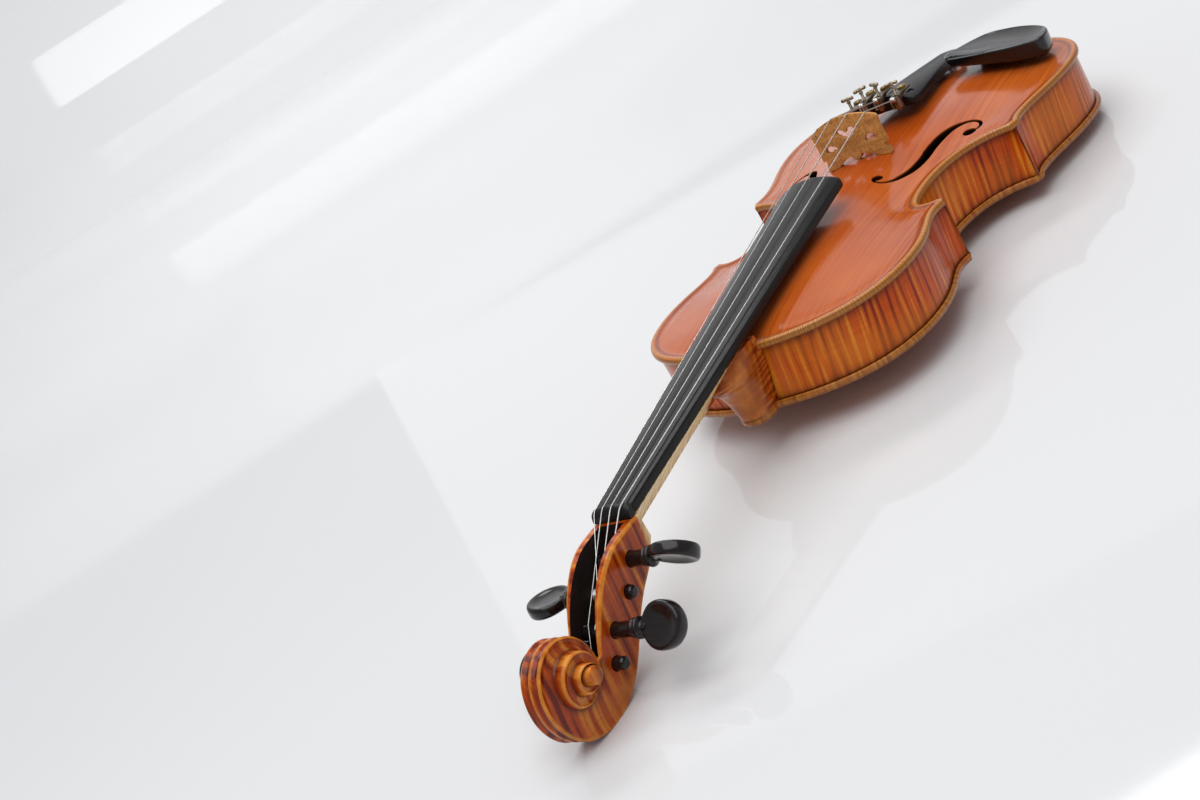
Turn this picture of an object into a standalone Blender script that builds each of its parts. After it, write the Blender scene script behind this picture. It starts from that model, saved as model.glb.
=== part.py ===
"""A full-size violin with four fine tuners and a side-mounted chin rest, laid on its back.

Everything is modelled in the body's own frame and hung on one empty that tips it onto
its rest: X points to the bass side, -Y to the scroll, +Z up through the top.
Lengths in the constants are millimetres; MM turns them into metres.
"""
import math

import bmesh
import bpy
from mathutils import Matrix, Vector

MM = 0.001

# How the body lies: on the scroll and on the back's arch.
REST_PITCH = math.radians(-2.33)
REST_SHIFT = (0.0, -68.01, 8.75)

# Body
BODY_LENGTH = 356.0
BACK_EDGE_Z = 11.0
RIB_BOTTOM_Z = 15.0
RIB_TOP_Z = 46.0
TOP_EDGE_Z = 50.0
TOP_RISE = 11.5
BACK_RISE = 11.0
EDGE_THICKNESS = 4.0
PLATE_CORE = 0.74
OVERHANG = 2.7
RIB_THICKNESS = 1.1
GAP = 0.3
LINING = (2.0, 7.0)
PLATE_CELL = 12.0
BUTTON_RADIUS = 10.5
BUTTON_REACH = 14.5

# Half outline from the neck to the tail: four Bezier control points (half width, y) each.
UPPER_BOUT = (((0, 0), (50, 0), (85, 22), (85, 69)), ((85, 69), (85, 94), (73, 107), (79.5, 120.5)))
WAIST = (((77, 126), (67, 120.5), (57, 121), (56, 150)), ((56, 150), (55.2, 176), (66, 200), (91, 202)))
LOWER_BOUT = (((94, 208.2), (86, 226), (104, 250), (104, 283)),
              ((104, 283), (104, 328), (56, 356), (0, 356)))
# Half width that the arching spans at each y (the corners stay at edge level).
ARCH_Y = (0, 6, 20, 45, 70, 100, 122, 150, 178, 200, 215, 250, 283, 310, 335, 350, 356)
ARCH_W = (0, 30, 58, 78, 81, 72, 62, 53, 55, 64, 74, 93, 100, 93, 70, 38, 0)

# f-hole spine on the bass side: (x, y, half width), and the two round eyes.
F_SPINE = ((21.2, 161.0, 0.9), (24.0, 158.0, 0.9), (28.5, 157.6, 1.1), (33.0, 160.4, 1.6),
           (36.4, 165.5, 2.2), (40.2, 174.0, 2.7), (42.6, 186.0, 3.1), (43.6, 198.0, 3.3),
           (46.2, 209.0, 3.2), (50.0, 217.0, 2.7), (55.2, 221.8, 1.9), (60.6, 223.0, 1.4),
           (65.4, 220.6, 1.2), (67.4, 216.0, 1.1), (66.0, 211.6, 1.1))
F_EYES = ((23.4, 162.6, 3.2), (62.4, 210.0, 4.1))

# Fingerboard and neck
BOARD_Y = (-130.0, 134.0)
BOARD_HALF = (11.8, 21.0)
BOARD_RADIUS = 42.0
BOARD_EDGE = 4.6
BOARD_CROWN_AT_0 = 64.6
BOARD_SLOPE = 0.1185
NUT_LENGTH = 4.6

# Bridge and strings
BRIDGE_Y = 193.5
STRING_AT_NUT = (8.2, 2.75, -2.75, -8.2)
STRING_AT_BRIDGE = (17.0, 5.8, -5.8, -17.0)
STRING_AT_TAIL = (15.8, 5.2, -5.2, -15.8)
STRING_RADIUS = (0.4, 0.35, 0.3, 0.25)
STRING_NAMES = ("G", "D", "A", "E")
BRIDGE_CROWN_Z = 90.4
BRIDGE_CROWN_RADIUS = 45.6

# Pegs: name, hole centre (y, z), side of the head, direction its flat face looks (y, z)
PEGS = (("G", (-149.2, 30.4), 1, (-0.77, -0.64)), ("E", (-160.5, 20.5), -1, (0.1, 0.99)),
        ("D", (-178.4, 13.3), 1, (-0.8, 0.6)), ("A", (-187.6, 2.0), -1, (-0.7, 0.71)))
CHEEK = 12.5

# Tailpiece, tuners, saddle, end pin
TAIL_Y = (240.0, 345.0)
TAIL_CROWN = (78.5, 61.5)
SCREW_Y = 236.0
LEVER_Y = 232.2
ENDPIN_Z = 30.5
SADDLE_HALF = 18.0

# Chin rest
CLAMP_AT = 0.75
CLAMP_SPACING = 30.0
CLAMP_REACH = 6.6


# ---------------------------------------------------------------- scene helpers
def clear_scene():
    for obj in list(bpy.data.objects):
        bpy.data.objects.remove(obj, do_unlink=True)
    for group in list(bpy.data.collections):
        bpy.data.collections.remove(group)


def new_collection(name):
    group = bpy.data.collections.new(name)
    bpy.context.scene.collection.children.link(group)
    return group


def principled(name, colour, roughness, metallic=0.0):
    material = bpy.data.materials.new(name)
    material.use_nodes = True
    shader = material.node_tree.nodes["Principled BSDF"]
    shader.inputs["Base Color"].default_value = (*colour, 1.0)
    shader.inputs["Roughness"].default_value = roughness
    shader.inputs["Metallic"].default_value = metallic
    return material


def mm(point):
    return Vector(point) * MM


def settle(obj, material, at=(0, 0, 0), turn=None, cutter=False):
    """Link an object under the rest empty, as a part or as a cutter."""
    group = CUTTERS if cutter else PARTS
    group.objects.link(obj)
    obj.parent = REST
    obj.location = mm(at)
    if turn is not None:
        obj.rotation_euler = turn.to_euler()
    if cutter:
        obj.hide_render = True
        obj.display_type = "WIRE"
    if material is not None:
        obj.data.materials.append(material)
    return obj


def from_bmesh(name, bm, material=None, at=(0, 0, 0), turn=None, cutter=False, smooth=True):
    mesh = bpy.data.meshes.new(name)
    bm.to_mesh(mesh)
    bm.free()
    if smooth:
        mesh.shade_smooth()
        mesh.set_sharp_from_angle(angle=math.radians(35))
    return settle(bpy.data.objects.new(name, mesh), material, at, turn, cutter)


def box(name, low, high, material=None, cutter=False, bevel=0.0):
    bm = bmesh.new()
    bmesh.ops.create_cube(bm, size=1.0)
    centre = [(a + b) / 2 for a, b in zip(low, high)]
    size = [(b - a) * MM for a, b in zip(low, high)]
    bmesh.ops.scale(bm, vec=size, verts=bm.verts)
    obj = from_bmesh(name, bm, material, centre, None, cutter, smooth=False)
    if bevel:
        rounding = obj.modifiers.new("edges", "BEVEL")
        rounding.width = bevel * MM
        rounding.segments = 1
    return obj


def cylinder(name, radius, length, centre, axis, material=None, cutter=False, top=None, sides=24):
    """A cylinder or cone whose +Z end points along axis."""
    bm = bmesh.new()
    bmesh.ops.create_cone(bm, cap_ends=True, segments=sides, radius1=radius * MM,
                          radius2=(radius if top is None else top) * MM, depth=length * MM)
    turn = Vector((0, 0, 1)).rotation_difference(Vector(axis)).to_matrix()
    return from_bmesh(name, bm, material, centre, turn, cutter)


def turned(name, profile, material, at, turn, sides=20):
    """A turned piece: (radius, height) from top to bottom, both ends on the axis."""
    bm = bmesh.new()
    ring = [bm.verts.new(mm((r, 0, h))) for r, h in profile]
    for a, b in zip(ring, ring[1:]):
        bm.edges.new((a, b))
    obj = from_bmesh(name, bm, material, at, turn, smooth=False)
    screw = obj.modifiers.new("turning", "SCREW")
    screw.steps = sides
    screw.render_steps = sides
    screw.use_merge_vertices = True
    screw.merge_threshold = 0.00001
    return obj


def as_mesh(obj):
    """The object's evaluated shape as a plain mesh object in its place."""
    bpy.context.view_layer.update()
    graph = bpy.context.evaluated_depsgraph_get()
    mesh = bpy.data.meshes.new_from_object(obj.evaluated_get(graph))
    bm = bmesh.new()
    bm.from_mesh(mesh)
    bmesh.ops.remove_doubles(bm, verts=bm.verts, dist=0.000001)
    bmesh.ops.recalc_face_normals(bm, faces=bm.faces)
    bm.to_mesh(mesh)
    bm.free()
    new = bpy.data.objects.new(obj.name, mesh)
    for group in obj.users_collection:
        group.objects.link(new)
    new.parent = obj.parent
    new.matrix_world = obj.matrix_world.copy()
    new.hide_render = obj.hide_render
    new.display_type = obj.display_type
    name = obj.name
    bpy.data.objects.remove(obj, do_unlink=True)
    new.name = name
    return new


def slab(name, outlines, low, high, material=None, cutter=False, frame=None, at=(0, 0, 0)):
    """Flat outlines, the first one outer and the rest holes, extruded from low to high."""
    curve = bpy.data.curves.new(name, "CURVE")
    curve.dimensions = "2D"
    curve.fill_mode = "BOTH"
    curve.extrude = (high - low) / 2 * MM
    for outline in outlines:
        spline = curve.splines.new("POLY")
        spline.points.add(len(outline) - 1)
        for point, (x, y) in zip(spline.points, outline):
            point.co = (x * MM, y * MM, 0, 1)
        spline.use_cyclic_u = True
    frame = frame if frame is not None else Matrix.Identity(3)
    middle = Vector(at) + frame @ Vector((0, 0, (high + low) / 2))
    obj = settle(bpy.data.objects.new(name, curve), material, middle, frame, cutter)
    return as_mesh(obj)


def tube(name, points, radius, material):
    curve = bpy.data.curves.new(name, "CURVE")
    curve.dimensions = "3D"
    curve.bevel_depth = radius * MM
    curve.bevel_resolution = 2
    curve.use_fill_caps = True
    spline = curve.splines.new("POLY")
    spline.points.add(len(points) - 1)
    for target, point in zip(spline.points, points):
        target.co = (*mm(point), 1)
    return settle(bpy.data.objects.new(name, curve), material)


def ribbon(name, path, low, high, thickness, material):
    """An upright strip along a plan path, thickened to the left of its direction."""
    bm = bmesh.new()
    lower = [bm.verts.new(mm((x, y, low))) for x, y in path]
    upper = [bm.verts.new(mm((x, y, high))) for x, y in path]
    for i in range(len(path) - 1):
        bm.faces.new((lower[i], lower[i + 1], upper[i + 1], upper[i]))
    obj = from_bmesh(name, bm, material)
    wall = obj.modifiers.new("wall", "SOLIDIFY")
    wall.thickness = thickness * MM
    wall.offset = -1.0
    wall.use_even_offset = True
    return obj


def loft(name, rings, material=None, cutter=False):
    """A skin through closed sections of equal point count, capped at both ends."""
    bm = bmesh.new()
    verts = [[bm.verts.new(mm(p)) for p in ring] for ring in rings]
    count = len(rings[0])
    for a, b in zip(verts, verts[1:]):
        for i in range(count):
            j = (i + 1) % count
            bm.faces.new((a[i], a[j], b[j], b[i]))
    bm.faces.new(list(reversed(verts[0])))
    bm.faces.new(verts[-1])
    bmesh.ops.recalc_face_normals(bm, faces=bm.faces)
    return from_bmesh(name, bm, material, cutter=cutter)


def boolean(obj, cutter, operation):
    step = obj.modifiers.new(cutter.name, "BOOLEAN")
    step.operation = operation
    step.object = cutter
    step.solver = "EXACT"
    return obj


# ---------------------------------------------------------------- body geometry
def bezier(points, count):
    out = []
    for i in range(count + 1):
        t = i / count
        weights = ((1 - t) ** 3, 3 * t * (1 - t) ** 2, 3 * t * t * (1 - t), t ** 3)
        out.append(tuple(sum(w * p[k] for w, p in zip(weights, points)) for k in (0, 1)))
    return out


def chain(curves, count):
    out = []
    for curve in curves:
        points = bezier(curve, count)
        out += points if not out else points[1:]
    return out


def offset(path, distance):
    """A path moved to the left of its direction of travel."""
    out = []
    for i, (x, y) in enumerate(path):
        ax, ay = path[max(i - 1, 0)]
        bx, by = path[min(i + 1, len(path) - 1)]
        length = math.hypot(bx - ax, by - ay)
        out.append((x - (by - ay) / length * distance, y + (bx - ax) / length * distance))
    return out


def half_outline(count=12):
    return chain(UPPER_BOUT, count) + chain(WAIST, count) + chain(LOWER_BOUT, count)


def full_outline(half, inner_x=0.0):
    right = [(x, y) for x, y in half if x >= inner_x]
    left = [(-x, y) for x, y in reversed(half) if x > max(inner_x, 0.01)]
    return right + left


def distance_to(path, x, y):
    best = 1e9
    for (ax, ay), (bx, by) in zip(path, path[1:]):
        dx, dy = bx - ax, by - ay
        t = max(0.0, min(1.0, ((x - ax) * dx + (y - ay) * dy) / (dx * dx + dy * dy + 1e-9)))
        best = min(best, math.hypot(x - ax - t * dx, y - ay - t * dy))
    return best


def between(value, xs, ys):
    if value <= xs[0]:
        return ys[0]
    for i in range(len(xs) - 1):
        if value <= xs[i + 1]:
            t = (value - xs[i]) / (xs[i + 1] - xs[i])
            return ys[i] + t * (ys[i + 1] - ys[i])
    return ys[-1]


def arch(x, y, rise, fullness):
    """Arching height above the edge: a long arch times a cross arch, flat near the edge."""
    along = max(0.0, 1 - abs(2 * (y - 6) / (BODY_LENGTH - 12) - 1) ** 2.6)
    width = max(between(y, ARCH_Y, ARCH_W), 0.001)
    across = 0.5 * (1 + math.cos(math.pi * min(1.0, abs(x) / width) ** fullness))
    lift = max(0.0, min(1.0, (distance_to(HALF, abs(x), y) - 4) / 14))
    return rise * along * across * lift * lift * (3 - 2 * lift)


def top_z(x, y):
    return TOP_EDGE_Z + arch(x, y, TOP_RISE, 1.15)


def back_z(x, y):
    return BACK_EDGE_Z - arch(x, y, BACK_RISE, 1.3)


def arched_sheet(name, height, upward, material):
    """An open grid that follows the arching, thickened inwards, thinner away from the edge."""
    across, along = 212.0, 380.0
    bm = bmesh.new()
    bmesh.ops.create_grid(bm, x_segments=round(across / PLATE_CELL),
                          y_segments=round(along / PLATE_CELL), size=0.5)
    weights = []
    for vert in bm.verts:
        x, y = vert.co.x * across, vert.co.y * along + BODY_LENGTH / 2
        vert.co = mm((x, y, height(x, y)))
        inner = max(0.0, min(1.0, (distance_to(HALF, abs(x), y) - 9) / 9))
        inside = abs(x) < max(between(y, ARCH_Y, ARCH_W), 1) + 4
        weights.append(1 - inner * (1 - PLATE_CORE) if inside else 1.0)
    if not upward:
        bmesh.ops.reverse_faces(bm, faces=bm.faces)
    obj = from_bmesh(name, bm, material)
    graduation = obj.vertex_groups.new(name="graduation")
    for index, weight in enumerate(weights):
        graduation.add([index], weight, "REPLACE")
    shell = obj.modifiers.new("thickness", "SOLIDIFY")
    shell.thickness = EDGE_THICKNESS * MM
    shell.offset = -1.0
    shell.vertex_group = "graduation"
    return obj


def f_hole_outline(side):
    left, right = [], []
    for i, (x, y, half) in enumerate(F_SPINE):
        ax, ay, _ = F_SPINE[max(i - 1, 0)]
        bx, by, _ = F_SPINE[min(i + 1, len(F_SPINE) - 1)]
        length = math.hypot(bx - ax, by - ay)
        nx, ny = -(by - ay) / length * half, (bx - ax) / length * half
        left.append((side * (x + nx), y + ny))
        right.append((side * (x - nx), y - ny))
    return left + right[::-1]


def make_plates():
    outline = full_outline(half_outline())
    top = arched_sheet("top_plate", top_z, True, SPRUCE)
    boolean(top, slab("top_outline", [outline], 40, 66, cutter=True), "INTERSECT")
    for label, side in (("bass", 1), ("treble", -1)):
        stem = slab(f"f_stem_{label}", [f_hole_outline(side)], 38, 68, cutter=True)
        boolean(top, stem, "DIFFERENCE")
        for k, (x, y, radius) in enumerate(F_EYES):
            eye = cylinder(f"f_eye_{label}_{k}", radius, 30, (side * x, y, 53), (0, 0, 1), cutter=True)
            boolean(top, eye, "DIFFERENCE")
    notch = box("saddle_notch", (-SADDLE_HALF - GAP, 348.6, 40), (SADDLE_HALF + GAP, 360, 60), cutter=True)
    boolean(top, notch, "DIFFERENCE")

    button = [(BUTTON_RADIUS, 2)]
    reach = BUTTON_REACH - BUTTON_RADIUS
    for i in range(13):
        angle = math.pi * i / 12
        button.append((BUTTON_RADIUS * math.cos(angle), -reach - BUTTON_RADIUS * math.sin(angle)))
    button.append((-BUTTON_RADIUS, 2))
    right = [p for p in half_outline() if p[0] > BUTTON_RADIUS]
    left = [(-x, y) for x, y in reversed(half_outline()) if x > BUTTON_RADIUS]
    tail = [(x, y) for x, y in half_outline() if x <= BUTTON_RADIUS and y > 100]
    outline = [(BUTTON_RADIUS, 0.3)] + right + tail + [(-x, y) for x, y in reversed(tail[:-1])]
    outline += left + [(-BUTTON_RADIUS, 0.3)] + button[::-1][1:-1]
    back = arched_sheet("back_plate", back_z, False, MAPLE)
    boolean(back, slab("back_outline", [outline], -4, 24, cutter=True), "INTERSECT")
    return top, back


def extended(path, reach):
    """The path run on straight past both ends."""
    out = list(path)
    for end, (bx, by), (ax, ay) in ((0, path[0], path[1]), (len(out) + 1, path[-1], path[-2])):
        length = math.hypot(bx - ax, by - ay)
        out.insert(end, (bx + (bx - ax) / length * reach, by + (by - ay) / length * reach))
    return out


def rib_paths(inset):
    """Upper, waist and lower rib lines on the +X side, set in from the edge."""
    return [offset(chain(bout, 12), inset) for bout in (UPPER_BOUT, WAIST, LOWER_BOUT)]


def mirrored(path, side):
    return path if side > 0 else [(-x, y) for x, y in reversed(path)]


def trimmed(path, keep):
    return [p for p in path if keep(p)]


def make_ribs():
    low, high = RIB_BOTTOM_Z + GAP, RIB_TOP_Z - GAP
    upper, waist, lower = rib_paths(OVERHANG)
    upper = trimmed(upper, lambda p: p[0] > 16)
    waist = waist[2:-2]
    lower = [(x, y) for x, y in lower if x > 0.5] + [(0.2, lower[-1][1])]
    hole = cylinder("endpin_bore", 4.3, 40, (0, 345, ENDPIN_Z), (0, 1, 0), cutter=True)
    for label, side in (("bass", 1), ("treble", -1)):
        for bout, path in (("upper", upper), ("waist", waist), ("lower", lower)):
            rib = ribbon(f"rib_{bout}_{label}", mirrored(path, side), low, high, RIB_THICKNESS, MAPLE_RIB)
            if bout == "lower":
                boolean(rib, hole, "DIFFERENCE")


def make_linings():
    inset = OVERHANG + RIB_THICKNESS + GAP
    width, height = LINING
    upper, _, lower = rib_paths(inset)
    upper = trimmed(upper, lambda p: p[0] > 27 and p[1] < 96)[::2]
    lower = trimmed(lower, lambda p: p[0] > 27 and p[1] > 232)[::2]
    top = (RIB_TOP_Z - GAP - height, RIB_TOP_Z - GAP)
    back = (RIB_BOTTOM_Z + GAP, RIB_BOTTOM_Z + GAP + height)
    for label, side in (("bass", 1), ("treble", -1)):
        for bout, path, (low, high), face in (("upper", upper, top, "top"), ("lower", lower, top, "top"),
                                              ("lower", lower, back, "back")):
            ribbon(f"lining_{bout}_{face}_{label}", mirrored(path, side), low, high, width, WILLOW)


def crossing(a, b):
    """The first crossing of two plan paths: the point and the segment index on each."""
    for i in range(len(a) - 1):
        for j in range(len(b) - 1):
            (x1, y1), (x2, y2), (x3, y3), (x4, y4) = a[i], a[i + 1], b[j], b[j + 1]
            det = (x2 - x1) * (y4 - y3) - (y2 - y1) * (x4 - x3)
            if abs(det) < 1e-9:
                continue
            t = ((x3 - x1) * (y4 - y3) - (y3 - y1) * (x4 - x3)) / det
            s = ((x3 - x1) * (y2 - y1) - (y3 - y1) * (x2 - x1)) / det
            if 0 <= t <= 1 and 0 <= s <= 1:
                return (x1 + t * (x2 - x1), y1 + t * (y2 - y1)), i, j
    return None


def make_blocks():
    low, high = RIB_BOTTOM_Z + GAP, RIB_TOP_Z - GAP
    inset = OVERHANG + RIB_THICKNESS + GAP
    upper, waist, lower = rib_paths(inset)
    upper, waist, lower = upper, extended(waist, 5), extended(lower, 0.01)
    tip_a, i, j = crossing(extended(upper, 5), waist)
    i = min(i - 1, len(upper) - 1)
    upper_corner = [p for p in upper[:i + 1] if p[1] > 105] + [tip_a]
    upper_corner += [p for p in waist[j + 1:] if p[1] < 130]
    upper_corner.append((61.0, 109.0))
    tip_b, i, j = crossing(waist, extended(lower, 5))
    j = max(j - 1, 0)
    lower_corner = [p for p in waist[:i + 1] if p[1] > 192] + [tip_b]
    lower_corner += [p for p in lower[j + 1:] if p[1] < 226]
    for label, side in (("bass", 1), ("treble", -1)):
        for name, outline in (("upper", upper_corner), ("lower", lower_corner)):
            shape = [(side * x, y) for x, y in outline]
            slab(f"corner_block_{name}_{label}", [shape], low, high, WILLOW)
    front = OVERHANG + RIB_THICKNESS + GAP + 0.5
    neck_block = box("neck_block", (-25, front, low), (25, 19, high), WILLOW)
    for label, side in (("bass", 1), ("treble", -1)):
        path = [p for p in upper if p[0] < 45 and p[1] < 60]
        outer = [(x, y - 6) for x, y in path]
        shape = [(side * x, y) for x, y in path + outer[::-1]]
        boolean(neck_block, slab(f"neck_block_round_{label}", [shape], low - 2, high + 2, cutter=True),
                "DIFFERENCE")
    end_block = box("end_block", (-25, 337, low), (25, BODY_LENGTH - inset - 0.2, high), WILLOW)
    for label, side in (("bass", 1), ("treble", -1)):
        path = [p for p in lower if p[0] < 50 and p[1] > 300]
        outer = [(x, y + 6) for x, y in path]
        shape = [(side * x, y) for x, y in path + outer[::-1]]
        boolean(end_block, slab(f"end_block_round_{label}", [shape], low - 2, high + 2, cutter=True),
                "DIFFERENCE")
    bore = cylinder("end_block_bore", 3.9, 40, (0, 345, ENDPIN_Z), (0, 1, 0), cutter=True)
    boolean(end_block, bore, "DIFFERENCE")


def make_bar_and_post():
    rings = []
    for i in range(11):
        y = 46 + (314 - 46) * i / 10
        x = 15.6 + 2.6 * (i / 10)
        roof = [top_z(x + dx, y) - EDGE_THICKNESS * 0.98 - GAP for dx in (0, 5.4)]
        depth = 3.5 + 8.5 * math.sin(math.pi * i / 10)
        floor = min(roof) - depth
        rings.append([(x, y, floor), (x + 5.4, y, floor), (x + 5.4, y, roof[1]), (x, y, roof[0])])
    loft("bass_bar", rings, SPRUCE_BARE)
    x, y, radius = -18.5, 201.5, 3.0
    around = [(x + radius * math.cos(a), y + radius * math.sin(a)) for a in (0, 1.57, 3.14, 4.71)]
    low = max(back_z(*p) for p in around) + EDGE_THICKNESS * 0.98 + GAP
    high = min(top_z(*p) for p in around) - EDGE_THICKNESS * 0.98 - GAP
    cylinder("sound_post", radius, high - low, (x, y, (high + low) / 2), (0, 0, 1), SPRUCE_BARE, sides=16)


# ---------------------------------------------------------------- neck, scroll, board
def board_crown(y):
    return BOARD_CROWN_AT_0 + BOARD_SLOPE * y


def board_half(y):
    return between(y, BOARD_Y, BOARD_HALF)


def board_under(y):
    half = board_half(y)
    return board_crown(y) - (BOARD_RADIUS - math.sqrt(BOARD_RADIUS ** 2 - half ** 2)) - BOARD_EDGE


def make_fingerboard():
    rings = []
    for y, bevel in ((BOARD_Y[0], 0), (-60, 0), (0, 0), (70, 0), (BOARD_Y[1] - 3, 0), (BOARD_Y[1], 2.0)):
        half = board_half(y) - bevel
        crown = board_crown(y)
        under = board_under(y)
        ring = [(half, y, under + 0.0), (half, y, under + BOARD_EDGE * 0.6)]
        for i in range(9):
            x = half * math.cos(math.pi * (i + 0.5) / 9)
            ring.append((x, y, crown - BOARD_RADIUS + math.sqrt(BOARD_RADIUS ** 2 - x * x) - bevel * 0.3))
        ring += [(-half, y, under + BOARD_EDGE * 0.6), (-half, y, under)]
        rings.append(ring)
    board = loft("fingerboard", rings, EBONY)
    hollow = []
    for y, half, depth in ((22, 8.0, 0.3), (40, 10.5, 3.0), (100, 13.5, 4.2), (140, 15.0, 4.8)):
        under = board_under(min(y, 134))
        lift = (y - 134) * BOARD_SLOPE if y > 134 else 0
        ring = [(-half, y, under - 3 + lift)]
        for i in range(7):
            x = -half * math.cos(math.pi * i / 6)
            ring.append((x, y, under + lift + depth * (1 - (x / half) ** 2)))
        ring += [(half, y, under - 3 + lift)]
        hollow.append(ring)
    boolean(board, loft("board_hollow", hollow, cutter=True), "DIFFERENCE")


def make_nut():
    front, rear = BOARD_Y[0] - GAP - NUT_LENGTH, BOARD_Y[0] - GAP
    rings = []
    for y, drop in ((front, 3.2), (front + 1.6, 0.6), (rear - 1.2, 0.0), (rear, 0.2)):
        half = BOARD_HALF[0]
        crown = board_crown(BOARD_Y[0]) + 0.7 - drop
        under = board_under(BOARD_Y[0])
        ring = [(half, y, under)]
        for i in range(9):
            x = half * math.cos(math.pi * (i + 0.5) / 9)
            ring.append((x, y, crown - BOARD_RADIUS + math.sqrt(BOARD_RADIUS ** 2 - x * x)))
        ring.append((-half, y, under))
        rings.append(ring)
    loft("nut", rings, EBONY)


def neck_section(top_y, top_z_, half, low_y, low_z, flat, square):
    """One D-shaped section hinged from the glue face down to the underside."""
    ring = []
    steps = 7
    for i in range(steps * 2 + 1):
        angle = math.pi * i / (steps * 2)
        side = math.cos(angle)
        drop = math.sin(angle) ** (1.0 / square)
        x = math.copysign(abs(side) ** (1.0 / square), side) * (half + (flat - half) * drop)
        if abs(side) < 1e-9:
            x = 0.0
        ring.append((x, top_y + (low_y - top_y) * drop, top_z_ + (low_z - top_z_) * drop))
    return ring


def make_neck():
    """Head outline, pegbox and volute joined with the handle and the heel."""
    cheek_top = [(-130.5, 42.4), (-142, 42.6), (-152.4, 42.5), (-160.8, 40.1), (-170, 35.3), (-178.9, 28.3),
                 (-186.9, 19.8), (-193.2, 9.7)]
    turn = [(-194.0, 14.2), (-194.9, 19.0), (-197.0, 23.6), (-199.8, 27.4), (-203.8, 31.2), (-208.6, 33.6),
            (-214.7, 34.9), (-220.3, 33.9), (-225.0, 30.9), (-228.6, 26), (-231.4, 20.8), (-232.6, 15.0),
            (-232.6, 7.0), (-231.2, -0.6), (-228.6, -6.9), (-224.0, -11.8), (-217.7, -15.2), (-208.1, -17.4),
            (-200.5, -17.2), (-193.5, -15.6), (-182.5, -10.2), (-173, -2.8), (-163.5, 5.4), (-153.9, 12.6),
            (-146.5, 16.2), (-140.7, 19.2), (-135.8, 23.4), (-130.5, 28.3)]
    profile = cheek_top + turn
    side_view = Matrix(((0, 0, 1), (1, 0, 0), (0, 1, 0)))
    neck = slab("neck_and_scroll", [profile], -26, 26, MAPLE_NECK, frame=side_view)
    widths = ((-240, 5.9), (-224, 6.2), (-215, 6.5), (-205, 7.4), (-195, 9.0), (-182, 10.2), (-170, 11.6),
              (-152, 12.5), (-138, 12.9), (-128, 12.4))
    plan = [(w, y) for y, w in widths] + [(-w, y) for y, w in reversed(widths)]
    boolean(neck, slab("head_plan", [plan], -30, 60, cutter=True), "INTERSECT")

    stations = ((-130.6, -130.6, 28.2, 12.4, 0.0, 1.0), (-122, -122, 30.6, 12.2, 0.0, 1.0),
                (-90, -90, 33.9, 13.2, 0.0, 1.0), (-55, -54, 37.6, 14.6, 0.0, 1.0),
                (-36, -33, 39.2, 15.2, 0.0, 1.0), (-27, -24.5, 38.2, 15.6, 1.0, 1.0),
                (-19, -19.2, 33.5, 15.9, 2.0, 1.05), (-13, -16.2, 26.5, 16.1, 3.0, 1.1),
                (-8, -14.8, 19.0, 16.2, 3.5, 1.15), (-5, -14.2, 15.3, 16.3, 4.0, 1.2),
                (-3, -9.5, 15.3, 16.3, 8.6, 1.6), (-0.4, -0.4, 15.3, 16.4, 10.2, 2.0))
    rings = []
    for top_y, low_y, low_z, half, flat, square in stations:
        glue = board_under(top_y) - GAP
        rings.append(neck_section(top_y, glue, half, low_y, low_z, flat, square))
    handle = loft("neck_handle", rings, cutter=True)
    boolean(neck, handle, "UNION")
    tenon = box("neck_tenon", (-9.6, -4, RIB_BOTTOM_Z + GAP + 1), (9.6, 3.9, RIB_TOP_Z - GAP), cutter=True)
    boolean(neck, tenon, "UNION")

    eye = (-210.5, 14.7)
    inner = cylinder("volute_inner", 11.0, 28, (0, *eye), (1, 0, 0), cutter=True, sides=28)
    boolean(neck, inner, "UNION")
    boss = cylinder("volute_eye", 4.4, 42.4, (0, *eye), (1, 0, 0), cutter=True, sides=20)
    boolean(neck, boss, "UNION")

    floor = [(-136.5, 60), (-136.5, 30.5), (-140, 25.5), (-150, 19.5), (-160, 13.5), (-170, 5.8),
             (-180, -2.2), (-188, -7.5), (-193.6, -7.0), (-194.2, 0), (-193.4, 6), (-193.0, 60)]
    boolean(neck, slab("pegbox_cavity", [floor], -7.8, 7.8, frame=side_view, cutter=True), "DIFFERENCE")
    for label, (y, z), side, _ in PEGS:
        bore = cylinder(f"peg_bore_{label}", 3.55, 40, (0, y, z), (side, 0, 0), cutter=True, top=4.25,
                        sides=20)
        boolean(neck, bore, "DIFFERENCE")


def make_pegs():
    """Each peg is turned about its own axis and carries a flat oval thumb piece."""
    profile = ((0, 27.2), (2.6, 27.2), (3.0, 26.6), (5.0, 25.9), (5.2, 24.6), (4.4, 23.4), (3.8, 22.2),
               (3.75, 12), (3.15, -14.2), (2.6, -15.3), (0, -15.7))
    for label, (y, z), side, face in PEGS:
        axis = Vector((side, 0, 0))
        flat = Vector((0, *face)).normalized()
        turn = Matrix((flat.cross(axis), flat, axis)).transposed()
        peg = turned(f"peg_{label}", profile, EBONY, (0, y, z), turn, sides=12)
        bm = bmesh.new()
        bmesh.ops.create_uvsphere(bm, u_segments=14, v_segments=8, radius=MM)
        bmesh.ops.scale(bm, vec=(11.2, 3.4, 12.2), verts=bm.verts)
        bmesh.ops.translate(bm, vec=(0, 0, 38.2 * MM), verts=bm.verts)
        thumb = from_bmesh(f"peg_thumb_{label}", bm, None, (0, y, z), turn, cutter=True)
        boolean(peg, thumb, "UNION")


# ---------------------------------------------------------------- bridge and strings
def bridge_crown(x):
    return BRIDGE_CROWN_Z - x * x / (2 * BRIDGE_CROWN_RADIUS)


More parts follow.
